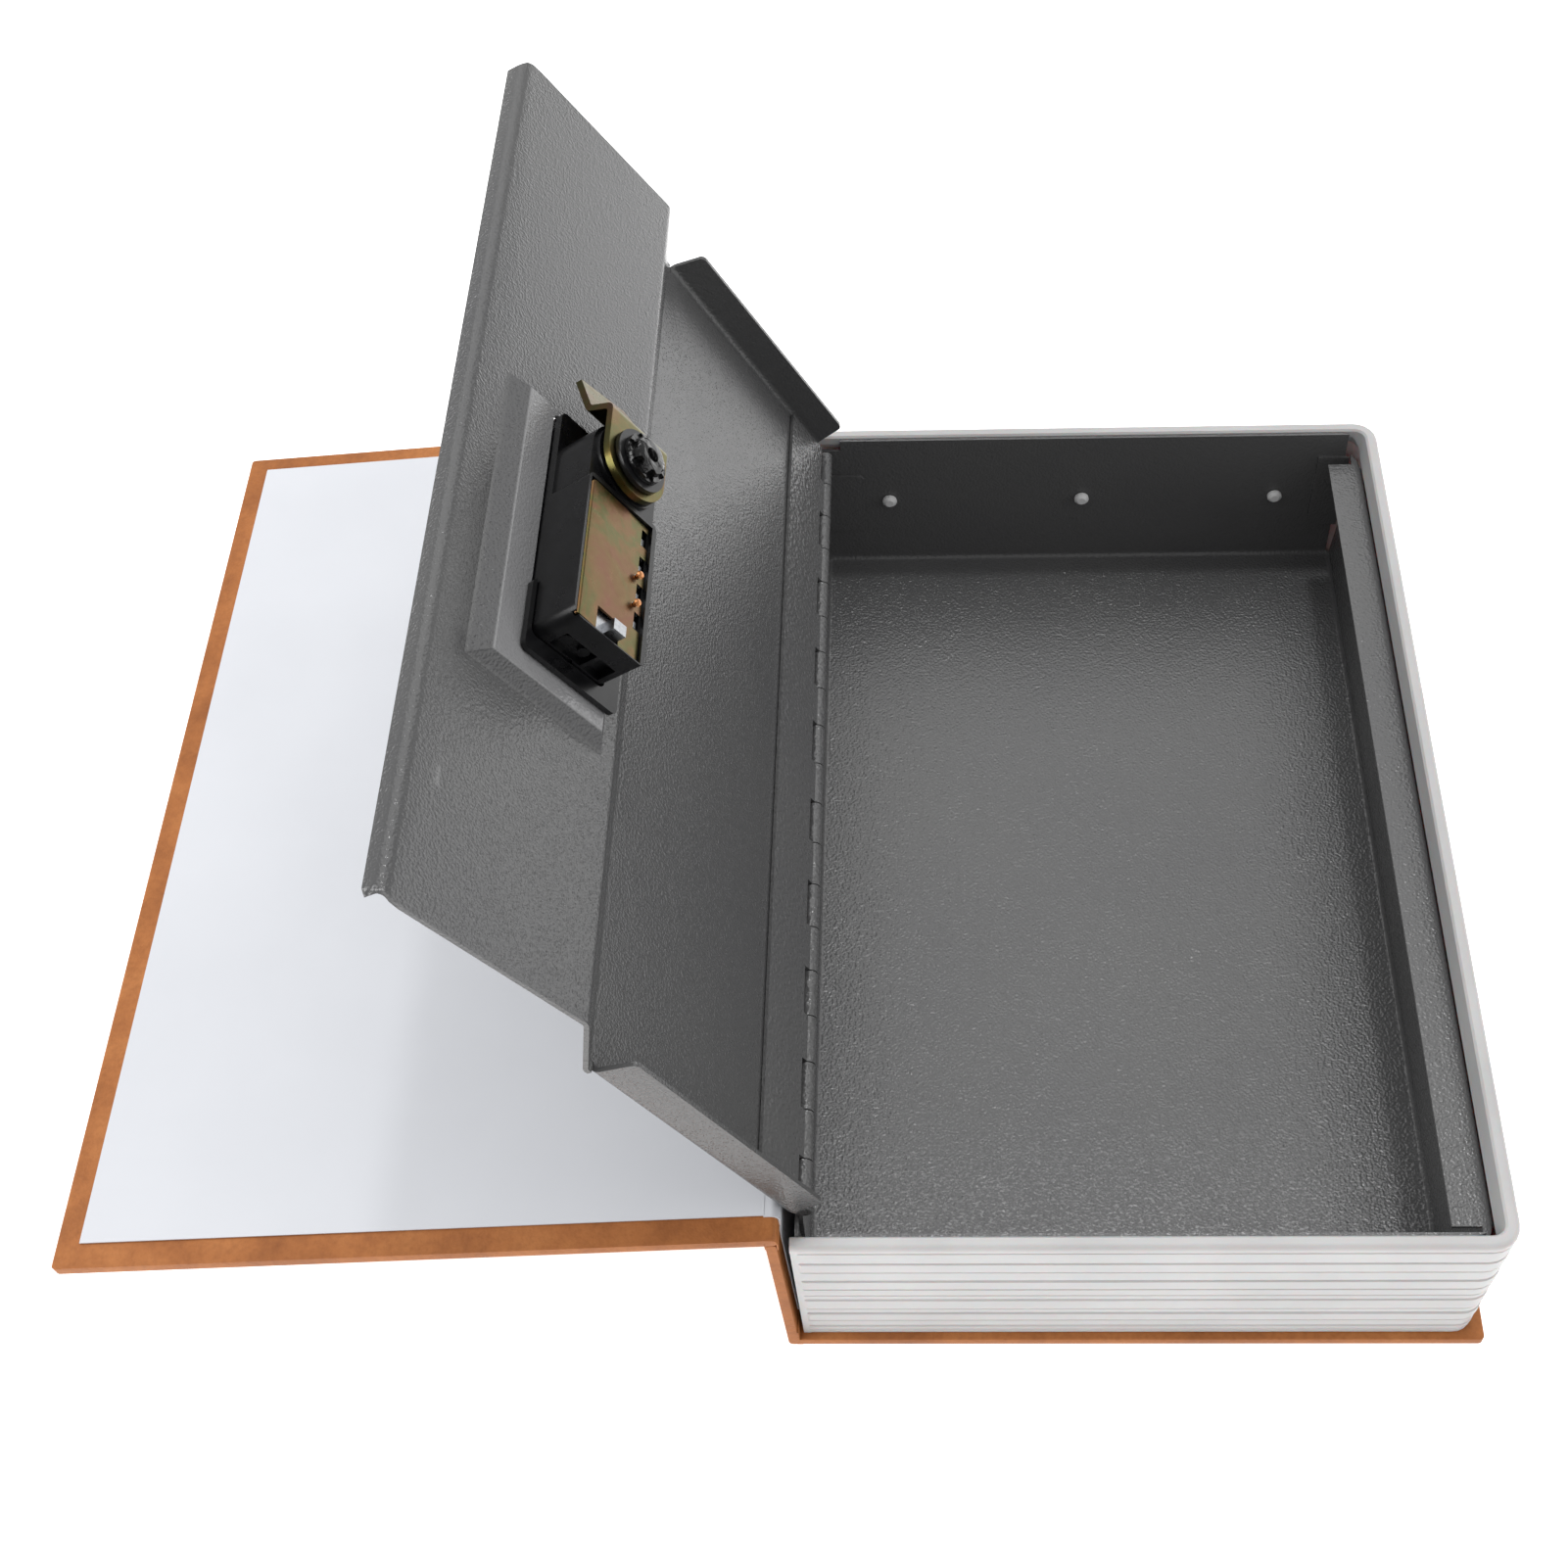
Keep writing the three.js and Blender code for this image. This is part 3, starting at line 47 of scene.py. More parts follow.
MM = 0.001
PHOTO_SIZE = 1601

Pair = tuple[float, float]
Triple = tuple[float, float, float]
Colour = tuple[float, float, float, float]
Window = tuple[float, float, float, float]
Socket = bpy.types.NodeSocket

ORIGIN: Triple = (0.0, 0.0, 0.0)
HEADWARDS: Triple = (0.0, 1.0, 0.0)
UPWARDS: Triple = (0.0, 0.0, 1.0)
WHITE: Colour = (1.0, 1.0, 1.0, 1.0)

# The colour sockets of Blender's Mix node, which share their names with its other sockets.
MIX_FIRST, MIX_SECOND, MIX_RESULT = 6, 7, 2


class Surface(Enum):
    """The finishes that the pieces of the book safe are given."""

    LEATHERETTE = "leatherette"
    PAPER = "paper"
    PAGE_PLASTIC = "page_plastic"
    GREY_PAINT = "grey_paint"
    LID_PAINT = "lid_paint"
    TRAY_PAINT = "tray_paint"
    PIN_STEEL = "pin_steel"
    BLACK_PLASTIC = "black_plastic"
    SEALED_PLASTIC = "sealed_plastic"
    YELLOW_ZINC = "yellow_zinc"
    CAM_ZINC = "cam_zinc"
    SILVER_METAL = "silver_metal"
    COPPER = "copper"
    STUD_PLASTIC = "stud_plastic"
    WHEEL_PLASTIC = "wheel_plastic"
    NUMBER_INK = "number_ink"
    STUDIO_FLOOR = "studio_floor"


def srgb(code: str) -> Colour:
    """Turns a screen colour into the linear colour that shaders use.

    Args:
        code: Six hexadecimal digits, red first.

    Returns:
        Linear red, green and blue, and full alpha.
    """
    channels = []
    for start in (0, 2, 4):
        value = int(code[start : start + 2], 16) / 255
        channels.append(value / 12.92 if value <= 0.04045 else ((value + 0.055) / 1.055) ** 2.4)
    return (channels[0], channels[1], channels[2], 1.0)


@dataclass(frozen=True)
class LidPanel:
    """Where the lid's lower panel stands at rest: its fold by the ramp, and its directions."""

    pin: Pair = (-73.8 * MM, 49.6 * MM)
    opening: float = math.radians(118.58)
    ramp_reach: float = 88.8 * MM
    ramp_drop: float = 10.05 * MM
    free_reach: float = 140.2 * MM
    free_drop: float = 5.6 * MM
    face_rise: float = 0.2 * MM

    def turned(self, out: float, up: float) -> Triple:
        """Turns a direction of the shut lid to where it points at rest.

        Args:
            out: How far it points away from the hinge.
            up: How far it points up.

        Returns:
            The direction at rest.
        """
        cosine, sine = math.cos(self.opening), math.sin(self.opening)
        return (out * cosine - up * sine, 0.0, out * sine + up * cosine)

    @property
    def point(self) -> Triple:
        """The fold at the foot of the ramp, on the panel's inner face."""
        across, _, above = self.turned(self.ramp_reach, self.face_rise - self.ramp_drop)
        return (self.pin[0] + across, 0.0, self.pin[1] + above)

    @property
    def tilt(self) -> float:
        """The panel's own slope in the shut lid."""
        return math.atan2(self.ramp_drop - self.free_drop, self.free_reach - self.ramp_reach)

    @property
    def normal(self) -> Triple:
        """The way the panel's inner face looks."""
        return self.turned(math.sin(self.tilt), -math.cos(self.tilt))

    @property
    def way(self) -> Triple:
        """The way from the ramp to the free edge."""
        return self.turned(math.cos(self.tilt), math.sin(self.tilt))


LID_PANEL = LidPanel()


class Weave:
    """A material's node tree, with short ways to add the nodes that the finishes share."""

    def __init__(self, name: str) -> None:
        """Starts an empty material.

        Args:
            name: The material's name.
        """
        self.material = bpy.data.materials.new(name)
        self.material.use_nodes = True
        self.nodes = self.material.node_tree.nodes
        self.links = self.material.node_tree.links
        self.shader = self.nodes["Principled BSDF"]
        self.place = self.nodes.new("ShaderNodeTexCoord").outputs["Object"]

    def set(self, **values: object) -> None:
        """Sets the shader's own sockets, by name with underscores for spaces.

        Args:
            **values: Socket names and their constant values.
        """
        for name, value in values.items():
            self.shader.inputs[name.replace("_", " ")].default_value = value

    def mapped(self, stretch: Triple) -> Socket:
        """Gives the object's coordinates, stretched along its axes.

        Args:
            stretch: The scale along X, Y and Z.

        Returns:
            The stretched coordinates.
        """
        node = self.nodes.new("ShaderNodeMapping")
        node.inputs["Scale"].default_value = stretch
        self.links.new(self.place, node.inputs["Vector"])
        return node.outputs["Vector"]

    def noise(
        self,
        scale: float,
        detail: float = 3.0,
        roughness: float = 0.5,
        distortion: float = 0.0,
        place: Optional[Socket] = None,
    ) -> Socket:
        """Adds a noise pattern.

        Args:
            scale: Features to the metre.
            detail: How many finer layers it has.
            roughness: How strong the finer layers are.
            distortion: How far the pattern is pulled about.
            place: Coordinates to read, or none for the object's own.

        Returns:
            The pattern's strength, from 0 to 1.
        """
        node = self.nodes.new("ShaderNodeTexNoise")
        node.inputs["Scale"].default_value = scale
        node.inputs["Detail"].default_value = detail
        node.inputs["Roughness"].default_value = roughness
        node.inputs["Distortion"].default_value = distortion
        self.links.new(place or self.place, node.inputs["Vector"])
        return node.outputs["Fac"]

    def cells(self, scale: float, smoothness: float) -> Socket:
        """Adds a pattern of soft round cells, as leather and textured paint have.

        Args:
            scale: Cells to the metre.
            smoothness: How softly neighbouring cells meet.

        Returns:
            The distance from each cell's middle.
        """
        node = self.nodes.new("ShaderNodeTexVoronoi")
        node.feature = "SMOOTH_F1"
        node.inputs["Scale"].default_value = scale
        node.inputs["Smoothness"].default_value = smoothness
        self.links.new(self.place, node.inputs["Vector"])
        return node.outputs["Distance"]

    def ramp(self, factor: Socket, stops: list[tuple[float, Colour]]) -> Socket:
        """Turns a pattern into colours.

        Args:
            factor: The pattern.
            stops: Places from 0 to 1 with their colours.

        Returns:
            The colour.
        """
        node = self.nodes.new("ShaderNodeValToRGB")
        ramp = node.color_ramp
        while len(ramp.elements) < len(stops):
            ramp.elements.new(1.0)
        for element, (position, colour) in zip(ramp.elements, stops):
            element.position = position
            element.color = colour
        self.links.new(factor, node.inputs["Fac"])
        return node.outputs["Color"]

    def shaded(self, factor: Socket, shade: str, main: str, span: Pair = (0.3, 0.7)) -> Socket:
        """Turns a pattern into two screen colours that run into each other.

        Args:
            factor: The pattern.
            shade: The colour where it is weak.
            main: The colour where it is strong.
            span: Where the first colour ends and the second starts.

        Returns:
            The colour.
        """
        return self.ramp(factor, [(span[0], srgb(shade)), (span[1], srgb(main))])

    def between(self, factor: Socket, low: float, high: float) -> Socket:
        """Spreads a pattern between two numbers.

        Args:
            factor: A pattern from 0 to 1.
            low: The value where it is 0.
            high: The value where it is 1.

        Returns:
            The spread pattern.
        """
        node = self.nodes.new("ShaderNodeMapRange")
        node.inputs["To Min"].default_value = low
        node.inputs["To Max"].default_value = high
        self.links.new(factor, node.inputs["Value"])
        return node.outputs["Result"]

    def mixed(self, factor: Socket, first: Socket, second: Colour) -> Socket:
        """Mixes two colours by a pattern.

        Args:
            factor: How much of the second colour shows.
            first: The first colour.
            second: The second colour.

        Returns:
            The mixed colour.
        """
        node = self.nodes.new("ShaderNodeMix")
        node.data_type = "RGBA"
        self.links.new(factor, node.inputs["Factor"])
        self.links.new(first, node.inputs[MIX_FIRST])
        node.inputs[MIX_SECOND].default_value = second
        return node.outputs[MIX_RESULT]

    def stained(self, first: Socket, second: Socket, share: float) -> Socket:
        """Multiplies a colour by another, as a stain does.

        Args:
            first: The colour below.
            second: The stain.
            share: How much of the stain shows.

        Returns:
            The stained colour.
        """
        node = self.nodes.new("ShaderNodeMix")
        node.data_type = "RGBA"
        node.blend_type = "MULTIPLY"
        node.inputs["Factor"].default_value = share
        self.links.new(first, node.inputs[MIX_FIRST])
        self.links.new(second, node.inputs[MIX_SECOND])
        return node.outputs[MIX_RESULT]

    def added(self, first: Socket, second: Socket, share: float) -> Socket:
        """Adds a share of one pattern to another.

        Args:
            first: The main pattern.
            second: The pattern that is added.
            share: How much of it is added.

        Returns:
            The sum.
        """
        node = self.nodes.new("ShaderNodeMath")
        node.operation = "MULTIPLY_ADD"
        node.inputs[1].default_value = share
        self.links.new(second, node.inputs[0])
        self.links.new(first, node.inputs[2])
        return node.outputs["Value"]

    def along(self, start: Triple, way: Triple) -> Socket:
        """Measures how far each point lies from a plane.

        Args:
            start: A point on the plane.
            way: The plane's normal.

        Returns:
            The distance in metres.
        """
        away = self.nodes.new("ShaderNodeVectorMath")
        away.operation = "SUBTRACT"
        away.inputs[1].default_value = start
        self.links.new(self.place, away.inputs[0])
        dot = self.nodes.new("ShaderNodeVectorMath")
        dot.operation = "DOT_PRODUCT"
        dot.inputs[1].default_value = way
        self.links.new(away.outputs["Vector"], dot.inputs[0])
        return dot.outputs["Value"]

    def step(self, factor: Socket, shut: float, opened: float) -> Socket:
        """Turns a value into a soft step: 0 on one side and 1 on the other.

        Args:
            factor: The value.
            shut: Where the step is 0.
            opened: Where it is 1, above or below the first.

        Returns:
            The step, from 0 to 1.
        """
        node = self.nodes.new("ShaderNodeMapRange")
        node.inputs["From Min"].default_value = shut
        node.inputs["From Max"].default_value = opened
        self.links.new(factor, node.inputs["Value"])
        return node.outputs["Result"]

    def window(self, factor: Socket, span: Window) -> Socket:
        """Turns a length into a soft-edged window: 1 inside it and 0 outside.

        Args:
            factor: The length.
            span: Where the window starts to open, is open, starts to close and is shut again.

        Returns:
            The window, from 0 to 1.
        """
        rise_from, rise_to, fall_from, fall_to = span
        rise = self.step(factor, rise_from, rise_to)
        return self.times(rise, self.step(factor, fall_to, fall_from))

    def times(self, first: Socket, second: Socket) -> Socket:
        """Multiplies two patterns, which keeps what lies in both.

        Args:
            first: One pattern.
            second: The other pattern.

        Returns:
            The product.
        """
        node = self.nodes.new("ShaderNodeMath")
        node.operation = "MULTIPLY"
        self.links.new(first, node.inputs[0])
        self.links.new(second, node.inputs[1])
        return node.outputs["Value"]

    def colour(self, socket: Socket) -> None:
        """Feeds the base colour.

        Args:
            socket: The colour.
        """
        self.links.new(socket, self.shader.inputs["Base Color"])

    def gloss(self, socket: Socket) -> None:
        """Feeds the roughness.

        Args:
            socket: The roughness pattern.
        """
        self.links.new(socket, self.shader.inputs["Roughness"])

    def relief(self, height: Socket, depth: float, strength: float) -> None:
        """Raises the surface by a pattern.

        Args:
            height: The pattern.
            depth: The height of its full range, in metres.
            strength: How much of it shows.
        """
        node = self.nodes.new("ShaderNodeBump")
        node.inputs["Strength"].default_value = strength
        node.inputs["Distance"].default_value = depth
        self.links.new(height, node.inputs["Height"])
        self.links.new(node.outputs["Normal"], self.shader.inputs["Normal"])


class Finish(ABC):
    """A finish that can be made into a material."""

    @abstractmethod
    def make(self) -> bpy.types.Material:
        """Returns the finish as a material."""


@dataclass(frozen=True)
class Leatherette(Finish):
    """Brown grained bookcloth, mottled where the grain has taken the dye unevenly."""

    light: str = "bb7943"
    main: str = "a96835"
    dark: str = "925628"
    patches: float = 55.0
    specks: float = 700.0
    speck_tint: Colour = (0.72, 0.68, 0.64, 1.0)
    speck_share: float = 0.6
    grain: float = 1500.0
    depth: float = 0.09 * MM
    roughness: Pair = (0.5, 0.68)

    def make(self) -> bpy.types.Material:
        """Returns the bookcloth as a material."""
        weave = Weave(Surface.LEATHERETTE.value)
        patches = weave.noise(self.patches, 5.0, 0.62)
        dye = [(0.3, srgb(self.dark)), (0.52, srgb(self.main)), (0.75, srgb(self.light))]
        tints = [(0.42, WHITE), (0.75, self.speck_tint)]
        specks = weave.ramp(weave.noise(self.specks, 3.0, 0.6), tints)
        weave.colour(weave.stained(weave.ramp(patches, dye), specks, self.speck_share))
        fine = weave.noise(self.grain * 2, 2.0)
        weave.relief(weave.added(weave.cells(self.grain, 0.8), fine, 0.5), self.depth, 0.7)
        weave.gloss(weave.between(patches, *self.roughness))
        weave.set(Specular_IOR_Level=0.35)
        return weave.material


@dataclass(frozen=True)
class Paper(Finish):
    """The smooth pale endpaper."""

    main: str = "d9dbe0"
    shade: str = "d5d7dc"
    clouds: float = 24.0
    fibres: float = 2600.0
    depth: float = 0.02 * MM

    def make(self) -> bpy.types.Material:
        """Returns the paper as a material."""
        weave = Weave(Surface.PAPER.value)
        weave.colour(weave.shaded(weave.noise(self.clouds, 4.0), self.shade, self.main))
        weave.relief(weave.noise(self.fibres, 4.0, 0.7), self.depth, 0.35)
        weave.set(Roughness=0.75, Specular_IOR_Level=0.3)
        return weave.material


@dataclass(frozen=True)
class PagePlastic(Finish):
    """White moulding that stands for the cut edges of the pages."""

    main: str = "c1c1c1"
    shade: str = "bababa"
    clouds: float = 40.0
    leaves: Triple = (14.0, 14.0, 1500.0)
    depth: float = 0.14 * MM

    def make(self) -> bpy.types.Material:
        """Returns the moulding as a material."""
        weave = Weave(Surface.PAGE_PLASTIC.value)
        clouds = weave.noise(self.clouds, 3.0)
        weave.colour(weave.shaded(clouds, self.shade, self.main, (0.35, 0.65)))
        leaves = weave.noise(1.0, 3.0, 0.6, 0.2, weave.mapped(self.leaves))
        weave.relief(leaves, self.depth, 0.45)
        weave.set(Roughness=0.42, Specular_IOR_Level=0.45)
        weave.set(Subsurface_Weight=0.3, Subsurface_Scale=2.5 * MM)
        return weave.material


@dataclass(frozen=True)
class GreyPaint(Finish):
    """Grey powder coat with a leathery pebble, glossy enough to catch the light on each bump."""

    name: Surface = Surface.GREY_PAINT
    main: str = "5c5c5c"
    shade: str = "585859"
    clouds: float = 16.0
    pebble: float = 1150.0
    depth: float = 0.35 * MM
    strength: float = 0.75
    roughness: Pair = (0.17, 0.26)

    def make(self) -> bpy.types.Material:
        """Returns the paint as a material."""
        weave = Weave(self.name.value)
        weave.colour(self.tone(weave))
        fine = weave.noise(self.pebble * 0.8, 2.0, 0.5, 0.1)
        bumps = weave.added(weave.cells(self.pebble, 1.0), fine, 0.8)
        weave.relief(bumps, self.depth, self.strength)
        weave.gloss(weave.between(weave.noise(self.pebble * 0.5, 2.0), *self.roughness))
        weave.set(Specular_IOR_Level=0.5)
        return weave.material

    def tone(self, weave: Weave) -> Socket:
        """Gives the paint's colour.

        Args:
            weave: The material.

        Returns:
            The colour, which the tray's and the lid's paint add their painted glints, painted
            light and shade, and marks to.
        """
        return weave.shaded(weave.noise(self.clouds, 4.0, 0.55), self.shade, self.main)


@dataclass(frozen=True)
class TrayPaint(GreyPaint):
    """The same powder coat in the tray, with painted glints (painted highlights) on its bumps at
    the floor's near end.
    """

    name: Surface = Surface.TRAY_PAINT
    pebble: float = 1600.0
    depth: float = 0.2 * MM
    # Painted highlight: a pale colour on the bump tops at the floor's near end stands in for
    # glints.
    polished: str = "959596"
    bump: Triple = (1.05 * MM, 0.6 * MM, 0.6 * MM)
    bump_tops: Pair = (0.56, 0.66)
    wear: float = 260.0
    wear_share: Pair = (0.3, 1.0)
    near_end: Window = (-113.6 * MM, -113.0 * MM, -96.0 * MM, -64.0 * MM)
    above_floor: Pair = (5.0 * MM, 4.6 * MM)

    def tone(self, weave: Weave) -> Socket:
        """Gives the paint's colour, with the painted glints on the bumps.

        Args:
            weave: The material.

        Returns:
            The colour.
        """
        plain = super().tone(weave)
        stretch = (1 / self.bump[0], 1 / self.bump[1], 1 / self.bump[2])
        bumps = weave.noise(1.0, 1.0, 0.5, 0.3, weave.mapped(stretch))
        share = weave.times(
            weave.step(bumps, *self.bump_tops),
            weave.between(weave.noise(self.wear, 2.0), *self.wear_share),
        )
        near = weave.window(weave.along(ORIGIN, HEADWARDS), self.near_end)
        low = weave.step(weave.along(ORIGIN, UPWARDS), *self.above_floor)
        # Mixes the painted glints into the colour, only on the floor's near end.
        return weave.mixed(weave.times(share, weave.times(near, low)), plain, srgb(self.polished))


@dataclass(frozen=True)
class Mark:
    """A mark on the lid's lower panel: its spans along the panel, along the book and above it."""

    colour: str
    reach: Pair
    length: Pair
    height: Pair
    blur: float
    share: float


ON_PANEL: Pair = (-0.6 * MM, 0.6 * MM)
# The lid's marks: the fold line is painted shade and the edge mark a painted highlight; the smudge
# and scratch are marks on the paint.
LID_MARKS = {
    # Painted shade: a dark line along the fold between the ramp and the panel.
    "fold line": Mark(
        colour="3f3f40",
        reach=(-0.25 * MM, 0.05 * MM),
        length=(-112.0 * MM, 112.0 * MM),
        height=ON_PANEL,
        blur=0.25 * MM,
        share=0.8,
    ),
    # Painted highlight: a pale line along the near edge of the hill's top, where the bend catches
    # the light.
    "edge highlight": Mark(
        colour="a4a4a4",
        reach=(2.0 * MM, 44.0 * MM),
        length=(-56.5 * MM, -55.3 * MM),
        height=(2.2 * MM, 4.0 * MM),
        blur=0.3 * MM,
        share=0.75,
    ),
    "smudge": Mark(
        colour="383839",
        reach=(42.2 * MM, 43.8 * MM),
        length=(-55.5 * MM, -52.0 * MM),
        height=ON_PANEL,
        blur=2.2 * MM,
        share=0.55,
    ),
    "scratch": Mark(
        colour="8e8e8e",
        reach=(43.6 * MM, 43.7 * MM),
        length=(-86.0 * MM, -82.5 * MM),
        height=ON_PANEL,
        blur=0.9 * MM,
        share=0.4,
    ),
}


@dataclass(frozen=True)
class LidPaint(GreyPaint):
    """The same powder coat on the lid, set darker than the tray's as painted shade, with painted
    light on the top of the pressed hill round the lock and painted shade on its sides.

    Heights are read along the normal of the lid's lower panel, from the panel's inner face.
    """

    name: Surface = Surface.LID_PAINT
    # Darker than the same paint in the tray: painted shade over the whole lid.
    main: str = "525252"
    shade: str = "4e4e4f"
    pebble: float = 1900.0
    depth: float = 0.15 * MM
    # Painted light on the hill's top (pale) and painted shade on its sides.
    pale: str = "7e7e7f"
    deep: str = "464647"
    panel: LidPanel = LID_PANEL
    hill_side: Window = (0.25 * MM, 0.5 * MM, 2.6 * MM, 2.85 * MM)
    hill_top: Window = (2.7 * MM, 2.9 * MM, 3.6 * MM, 4.0 * MM)
    wear: float = 700.0

    def tone(self, weave: Weave) -> Socket:
        """Gives the paint's colour, with the hill's painted light and shade and the marks.

        Args:
            weave: The material.

        Returns:
            The colour.
        """
        height = weave.along(self.panel.point, self.panel.normal)
        reach = weave.along(self.panel.point, self.panel.way)
        length = weave.along(ORIGIN, HEADWARDS)
        colour = super().tone(weave)
        # Painted shade on the hill's sides, then painted light on its top.
        colour = weave.mixed(weave.window(height, self.hill_side), colour, srgb(self.deep))
        colour = weave.mixed(weave.window(height, self.hill_top), colour, srgb(self.pale))
        ragged = weave.noise(self.wear, 3.0, 0.7)
        for mark in LID_MARKS.values():
            share = weave.between(ragged, mark.share * 0.5, mark.share)
            spans = ((reach, mark.reach), (length, mark.length), (height, mark.height))
            for way, (low, high) in spans:
                window = weave.window(way, (low - mark.blur, low, high, high + mark.blur))
                share = weave.times(share, window)
            colour = weave.mixed(share, colour, srgb(mark.colour))
        return colour


@dataclass(frozen=True)
class BlackPlastic(Finish):
    """Black moulded plastic with a faint satin bloom."""

    main: str = "101012"
    shade: str = "060607"
    bloom: float = 300.0
    roughness: Pair = (0.22, 0.36)

    def make(self) -> bpy.types.Material:
        """Returns the plastic as a material."""
        weave = Weave(Surface.BLACK_PLASTIC.value)
        bloom = weave.noise(self.bloom, 3.0)
        weave.colour(weave.shaded(bloom, self.shade, self.main, (0.3, 0.75)))
        weave.relief(weave.noise(3500.0, 2.0), 0.02 * MM, 0.4)
        weave.gloss(weave.between(weave.noise(220.0, 3.0), *self.roughness))
        weave.set(Specular_IOR_Level=0.38)
        return weave.material


@dataclass(frozen=True)
class SealedPlastic(Finish):
    """Black plastic melted and pressed into lumps, as on the cam's sealed screw."""

    main: str = "121213"
    shade: str = "050505"
    lumps: float = 300.0
    depth: float = 1.0 * MM
    roughness: Pair = (0.14, 0.26)

    def make(self) -> bpy.types.Material:
        """Returns the lumpy plastic as a material."""
        weave = Weave(Surface.SEALED_PLASTIC.value)
        lumps = weave.noise(self.lumps, 2.0, 0.5, 0.6)
        weave.colour(weave.shaded(lumps, self.shade, self.main))
        weave.relief(lumps, self.depth, 0.7)
        weave.gloss(weave.between(weave.noise(self.lumps * 0.6, 2.0), *self.roughness))
        weave.set(Specular_IOR_Level=0.45)
        return weave.material


@dataclass(frozen=True)
class YellowZinc(Finish):
    """Yellow passivated zinc, whose film shifts between gold, rose and green."""

    name: Surface = Surface.YELLOW_ZINC
    gold: str = "6b5537"
    rose: str = "6e4b3a"
    green: str = "5a5936"
    pale: str = "74613f"
    film: float = 70.0
    brushing: Triple = (900.0, 4200.0, 900.0)
    roughness: Pair = (0.2, 0.42)

    def make(self) -> bpy.types.Material:
        """Returns the plating as a material."""
        weave = Weave(self.name.value)
        places = (0.3, 0.42, 0.5, 0.56, 0.64, 0.8)
        tints = (self.rose, self.gold, self.green, self.gold, self.rose, self.pale)
        stops = [(place, srgb(tint)) for place, tint in zip(places, tints)]
        weave.colour(weave.ramp(weave.noise(self.film, 5.0, 0.6, 0.5), stops))
        lines = weave.noise(1.0, 3.0, 0.6, 0.0, weave.mapped(self.brushing))
        weave.relief(lines, 0.02 * MM, 0.5)
        weave.gloss(weave.between(weave.noise(600.0, 4.0), *self.roughness))
        weave.set(Metallic=1.0)
        return weave.material


@dataclass(frozen=True)
class PlainMetal(Finish):
    """Bare or plated metal with fine drawing marks."""

    name: Surface
    main: str
    shade: str
    drawing: float = 900.0
    roughness: Pair = (0.2, 0.38)

    def make(self) -> bpy.types.Material:
        """Returns the metal as a material."""
        weave = Weave(self.name.value)
        marks = weave.noise(self.drawing, 4.0, 0.6)
        weave.colour(weave.shaded(marks, self.shade, self.main))
        weave.gloss(weave.between(marks, *self.roughness))
        weave.relief(weave.noise(2500.0, 2.0), 0.01 * MM, 0.4)
        weave.set(Metallic=1.0)
        return weave.material


@dataclass(frozen=True)
class PlainFinish(Finish):
    """An even finish with a little unevenness, for pale plastic, ink and the floor."""

    name: Surface
    main: str
    shade: str
    roughness: float
    glow: float = 0.0
    clouds: float = 120.0

    def make(self) -> bpy.types.Material:
        """Returns the finish as a material."""
        weave = Weave(self.name.value)
        weave.colour(weave.shaded(weave.noise(self.clouds, 3.0), self.shade, self.main))
        weave.set(Roughness=self.roughness, Specular_IOR_Level=0.4)
        if self.glow > 0:
            weave.set(Emission_Color=WHITE, Emission_Strength=self.glow)
        return weave.material


FINISHES: dict[Surface, Finish] = {
    Surface.LEATHERETTE: Leatherette(),
    Surface.PAPER: Paper(),
    Surface.PAGE_PLASTIC: PagePlastic(),
    Surface.GREY_PAINT: GreyPaint(),
    Surface.LID_PAINT: LidPaint(),
    Surface.TRAY_PAINT: TrayPaint(),
    Surface.PIN_STEEL: GreyPaint(Surface.PIN_STEEL, "5a5a5a", "545454"),
    Surface.BLACK_PLASTIC: BlackPlastic(),
    Surface.SEALED_PLASTIC: SealedPlastic(),
    Surface.YELLOW_ZINC: YellowZinc(),
    Surface.CAM_ZINC: YellowZinc(Surface.CAM_ZINC, "6b5a34", "6b4f3b", "5e5c36", "7a6b45"),
    Surface.SILVER_METAL: PlainMetal(Surface.SILVER_METAL, "b6b8bb", "97999c"),
    Surface.COPPER: PlainMetal(Surface.COPPER, "cf9263", "b3784c"),
    Surface.STUD_PLASTIC: PlainFinish(Surface.STUD_PLASTIC, "eeeeee", "e6e6e6", 0.35),
    Surface.WHEEL_PLASTIC: PlainFinish(Surface.WHEEL_PLASTIC, "cbc9c2", "c1beb6", 0.4),
    Surface.NUMBER_INK: PlainFinish(Surface.NUMBER_INK, "101010", "1a1a1a", 0.5),
    Surface.STUDIO_FLOOR: PlainFinish(Surface.STUDIO_FLOOR, "f2f2f2", "f0f0f0", 0.9, 0.8),
}


@dataclass
class Finishes:
    """Every finish of the book safe, made once and handed out by name."""

    made: dict[Surface, bpy.types.Material] = field(default_factory=dict)

    def prepare(self) -> None:
        """Makes all the finishes."""
        self.made = {surface: finish.make() for surface, finish in FINISHES.items()}

    def dress(self, piece: bpy.types.Object, surface: Surface) -> None:
        """Gives a piece one finish all over.

        Args:
            piece: The piece.
            surface: The finish.
        """
        piece.data.materials.clear()
        piece.data.materials.append(self.made[surface])


